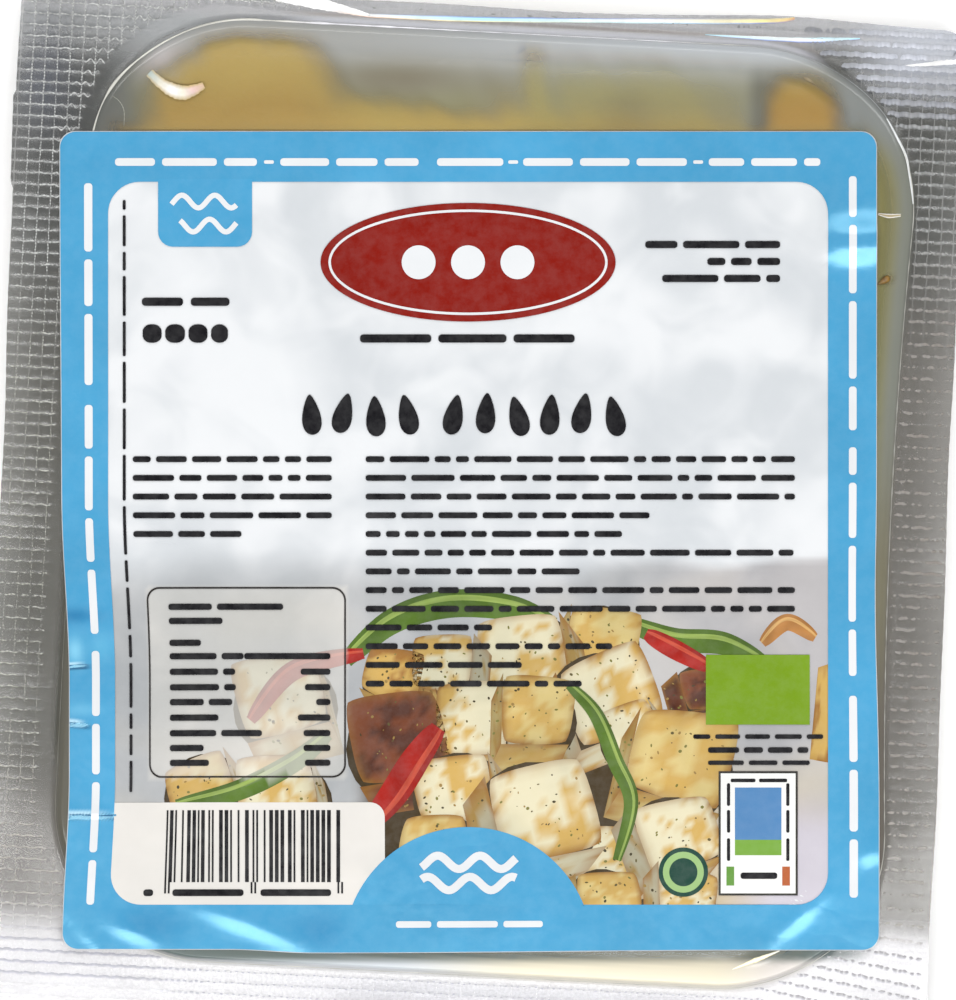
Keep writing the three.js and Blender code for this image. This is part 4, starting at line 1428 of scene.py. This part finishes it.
class Picture(Print):
    """A heap of toasted cubes with green and red slices on a pale plate."""

    def __init__(self):
        super().__init__("print_picture", 0.01, PICTURE_INK)
        self.rng = random.Random(34)

    def plate(self):
        uv = grid(-51.4, -51.9, 51, -0.5, 128, 64)
        u, v = uv.T
        haze = cloud(uv, (0.09, 0.13), 1.7)
        fade = smooth(-1.6, -9.5 + 6 * smooth(0, 30, u), v + 0.01 * u + 0.8 * sin(u / 15) + 1.6 * haze)
        warm = clip(smooth(-26, -46, v) * smooth(-10, 20, u) + 0.3 * haze, 0, 1)
        heap = 1 - smooth(0.84, 1, np.hypot((u - 8) / 25, (v + 38) / 23) + 0.1 * haze)
        ground = coats((180, 181, 182), (smooth(10, 45, u) * smooth(-40, -20, v), (180, 177, 178)),
                       (warm, (196, 180, 150)), (smooth(34, 44, u) * smooth(-34, -42, v), (196, 191, 200)))
        ground = blend(heap, ground * (1 + 0.14 * haze)[:, None], GAP)
        self.add(uv, grid_faces(128, 64), behind_box(uv, blend(fade, WHITE, ground)))

    @staticmethod
    def inside(corners, a, b):
        """Places at the shares a and b across a four-sided patch."""
        return sum(np.multiply.outer(share, corner) for share, corner in zip(
            ((1 - a) * (1 - b), a * (1 - b), a * b, (1 - a) * b), corners))

    def patch(self, corners, light, toast, gild, level, n=12, roundness=0):
        """A four-sided patch with golden areas and thin toasted edges."""
        a, b = grid(0, 0, 1, 1, n, n).T
        c = np.asarray(corners, float)
        pts = self.inside(c, a, b)
        pull = 1 - roundness * (abs(2 * a - 1) * abs(2 * b - 1)) ** 3
        pts = c.mean(0) + (pts - c.mean(0)) * pull[:, None]
        key = self.rng.uniform(0, 40)
        spot = cloud(pts, (0.3, 0.3), key) + 0.7 * cloud(pts, (1.1, 1.1), key)
        lean = self.rng.uniform(0, 2 * pi)
        drift = (a - 0.5) * cos(lean) + (b - 0.5) * sin(lean)
        golden = smooth(-0.12, 0.2, spot + 0.7 * drift + gild - 0.5)
        rim = 1 - clip(minimum.reduce([a, 1 - a, b, 1 - b]) * n * 0.8, 0, 1)
        tones = coats(light, (golden, toast), (rim * (0.5 + 0.4 * golden), TOAST * 0.8))
        turned = np.cross(c[1] - c[0], c[2] - c[1]) < 0
        self.add(pts, grid_faces(n, n)[:, ::-1 if turned else 1], behind_box(pts, tones), level)

    def specks(self, corners, number, level):
        """Herb and seed flecks on a patch."""
        rng = self.rng
        herbs = [srgb(*tone) for tone in ((96, 84, 46), (120, 116, 56), (150, 122, 66), (70, 62, 40))]
        for _ in range(number):
            a, b = rng.uniform(0.1, 0.9), rng.uniform(0.1, 0.9)
            p = self.inside(corners, a, b)
            r, tone, turn = rng.uniform(0.09, 0.28), rng.choice(herbs), rng.uniform(0, pi)
            fleck = ellipse((0, 0), (r, r * rng.uniform(0.4, 0.9)), 7)
            spin = array([[cos(turn), sin(turn)], [-sin(turn), cos(turn)]])
            self.blob(fleck @ spin + p, behind_box(p[None], tone), level + 0.4 * LEVEL)

    def cube(self, u, v, size, turn, look, level, odd):
        """A toasted cube: a rounded face, and one or two darker sides behind its edges."""
        rng, half = self.rng, size / 2
        c, s = cos(turn), sin(turn)
        square = [(-half, -half), (half, -half), (half, half), (-half, half)]
        face = array([(u + a * c - b * s * 0.92, v + a * s + b * c * 0.92) for a, b in square])
        face += array([(rng.uniform(-0.9, 0.9), rng.uniform(-0.9, 0.9)) for _ in face])
        lean = rng.choice((-1, 1)) * rng.uniform(0.16, 0.34)
        drop = array([lean * size, -rng.uniform(0.26, 0.4) * size])
        light, toast, gild = CUBE_LOOKS[look]
        mid = face.mean(0) + drop * 0.45
        self.blob(ellipse(mid, (half * 1.24, half * 1.2), 22), behind_box(mid[None], GAP), level, 6)
        at = level + (3 if odd else 1) * LEVEL
        for a, b, shade in ((0, 1, 0.74), (1, 2, 0.55) if lean > 0 else (3, 0, 0.55)):
            sides = [face[a], face[b], face[b] + drop, face[a] + drop]
            self.patch(sides, light * shade, toast * shade, gild, at, 6)
            self.specks(sides, 8, at)
        self.patch(face, light, toast, gild, at + LEVEL, 12, 0.1)
        self.specks(face, round(rng.uniform(1.6, 2.4) * size), at + LEVEL)

    def slice(self, points, width, tone, light, level):
        """A curved slice of pepper or leaf with a paler line along it."""
        line = curve_points(points, 40)
        swell = width * (0.35 + 0.65 * sin(pi * clip(linspace(0, 1, 40), 0.03, 0.97)) ** 0.5)
        side = sideways(line)
        for shift, share, ink, edge in ((0, 1, tone, 0.8), (0.2, 0.2, light, 1)):
            at, wide = line + side * (swell * shift)[:, None], side * (swell * share / 2)[:, None]
            pts = concatenate([at + wide * t for t in (1, 0, -1)])
            inks = ink * (1 + 0.14 * sin(arange(len(pts)) * 0.37))[:, None]
            inks[:40] *= edge
            self.add(pts, grid_faces(39, 2)[:, ::-1], behind_box(pts, inks), level)
            level += LEVEL


def build_picture():
    picture = Picture()
    picture.plate()
    for item in SLICES[None]:
        picture.slice(*item, LEVEL)
    picture.patch([(48.2, -31), (50.9, -31.5), (50.9, -17.5), (49.4, -18)], GOLD, TOAST, 0.3, LEVEL)
    level = 3 * LEVEL
    for k, row in enumerate(HEAP_ROWS):
        for j, cube in enumerate(row):
            picture.cube(*cube, level, j % 2 == 1)
            level += 2 * LEVEL if cube[2] > 13 else 0
        level += 5 * LEVEL
        for item in SLICES.get(k, ()):
            picture.slice(*item, level)
            level += LEVEL
        level += 2 * LEVEL
    picture.piece()


def build_table_box():
    """The thin round-cornered frame of the table."""
    sheet = Print("print_table", 0.19)
    left, bottom, right, top = TABLE_BOX
    outer = ring(left, right, bottom, top, 1.9, 40, 40, 8)
    inner = ring(left + 0.24, right - 0.24, bottom + 0.24, top - 0.24, 1.7, 40, 40, 8)
    sheet.add(concatenate([outer, inner]), ring_faces(2, len(outer)), (40, 36, 34))
    sheet.piece()


build_lid_film()
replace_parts(build_tray_film(), "sealed_pack")
build_seal_waffle()
build_rim_bead()
build_edge_folds()
tofu = build_tofu()
scatter_seeds("pale_seeds", PALE_SEED, 230, 5, 2.9, tofu)
scatter_seeds("black_seeds", BLACK_SEED, 80, 8, 2.6, tofu)
scatter_seeds("toasted_seed", TOASTED_SEED, 0, 9, 2.4, tofu,
              [((*SEED_AT, TOFU_TOP + 0.16), (0, 0, 1), 0.6, 1)])
build_label_sheet()
build_picture()
build_table_box()
build_fields()
build_signs()
build_marks()
build_stripes()


# ---- stage, lights and camera ----
def link(name, data):
    made = bpy.data.objects.new(name, data)
    bpy.context.scene.collection.objects.link(made)
    return made


def build_stage():
    n, half = 24, 1.6
    mesh = bpy.data.meshes.new("floor")
    mesh.from_pydata([(x, y, 0) for x, y in grid(-half, -half, half, half, n, n)], [],
                     grid_faces(n, n).tolist())
    mesh.materials.append(floor_material())
    floor = link("floor", mesh)


def soft_light(name, at, size, watts):
    lamp = bpy.data.lights.new(name, "AREA")
    lamp.shape = "RECTANGLE"
    lamp.size, lamp.size_y = size
    lamp.energy = watts
    light = link(name, lamp)
    light.location = at
    light.rotation_euler = (Vector((0, 0, 0.01)) - Vector(at)).to_track_quat("-Z", "Y").to_euler()


build_stage()
world = bpy.data.worlds.new("soft_room")
bpy.context.scene.world = world
world.use_nodes = True
sky = world.node_tree.nodes["Background"].inputs
sky["Color"].default_value, sky["Strength"].default_value = (1, 1, 1, 1), 0.26
soft_light("key_strip", (0, -0.25, 0.85), (1, 0.14), 6)
soft_light("back_strip", (0, 0.36, 0.85), (1, 0.14), 3)
soft_light("wide_front", (0, -0.95, 0.95), (1.4, 0.8), 1.8)
soft_light("wide_back", (0, 0.95, 0.95), (1.4, 0.8), 2.8)

VIEW_H = 141.7  # what the picture takes in from foot to head, mm
AIM = (ORIGIN[0] - 1.22, ORIGIN[1] + 0.56)
LENS, SENSOR = 300, 36
camera = bpy.data.cameras.new("camera")
camera.lens, camera.sensor_width, camera.clip_end = LENS, SENSOR, 20
eye = link("camera", camera)
eye.location = (AIM[0] / 1000, AIM[1] / 1000, LID_Z / 1000 + LENS * VIEW_H / SENSOR / 1000)
eye.rotation_euler = (0, 0, LABEL_TURN)
bpy.context.scene.camera = eye
bpy.context.scene.view_settings.view_transform = "Standard"
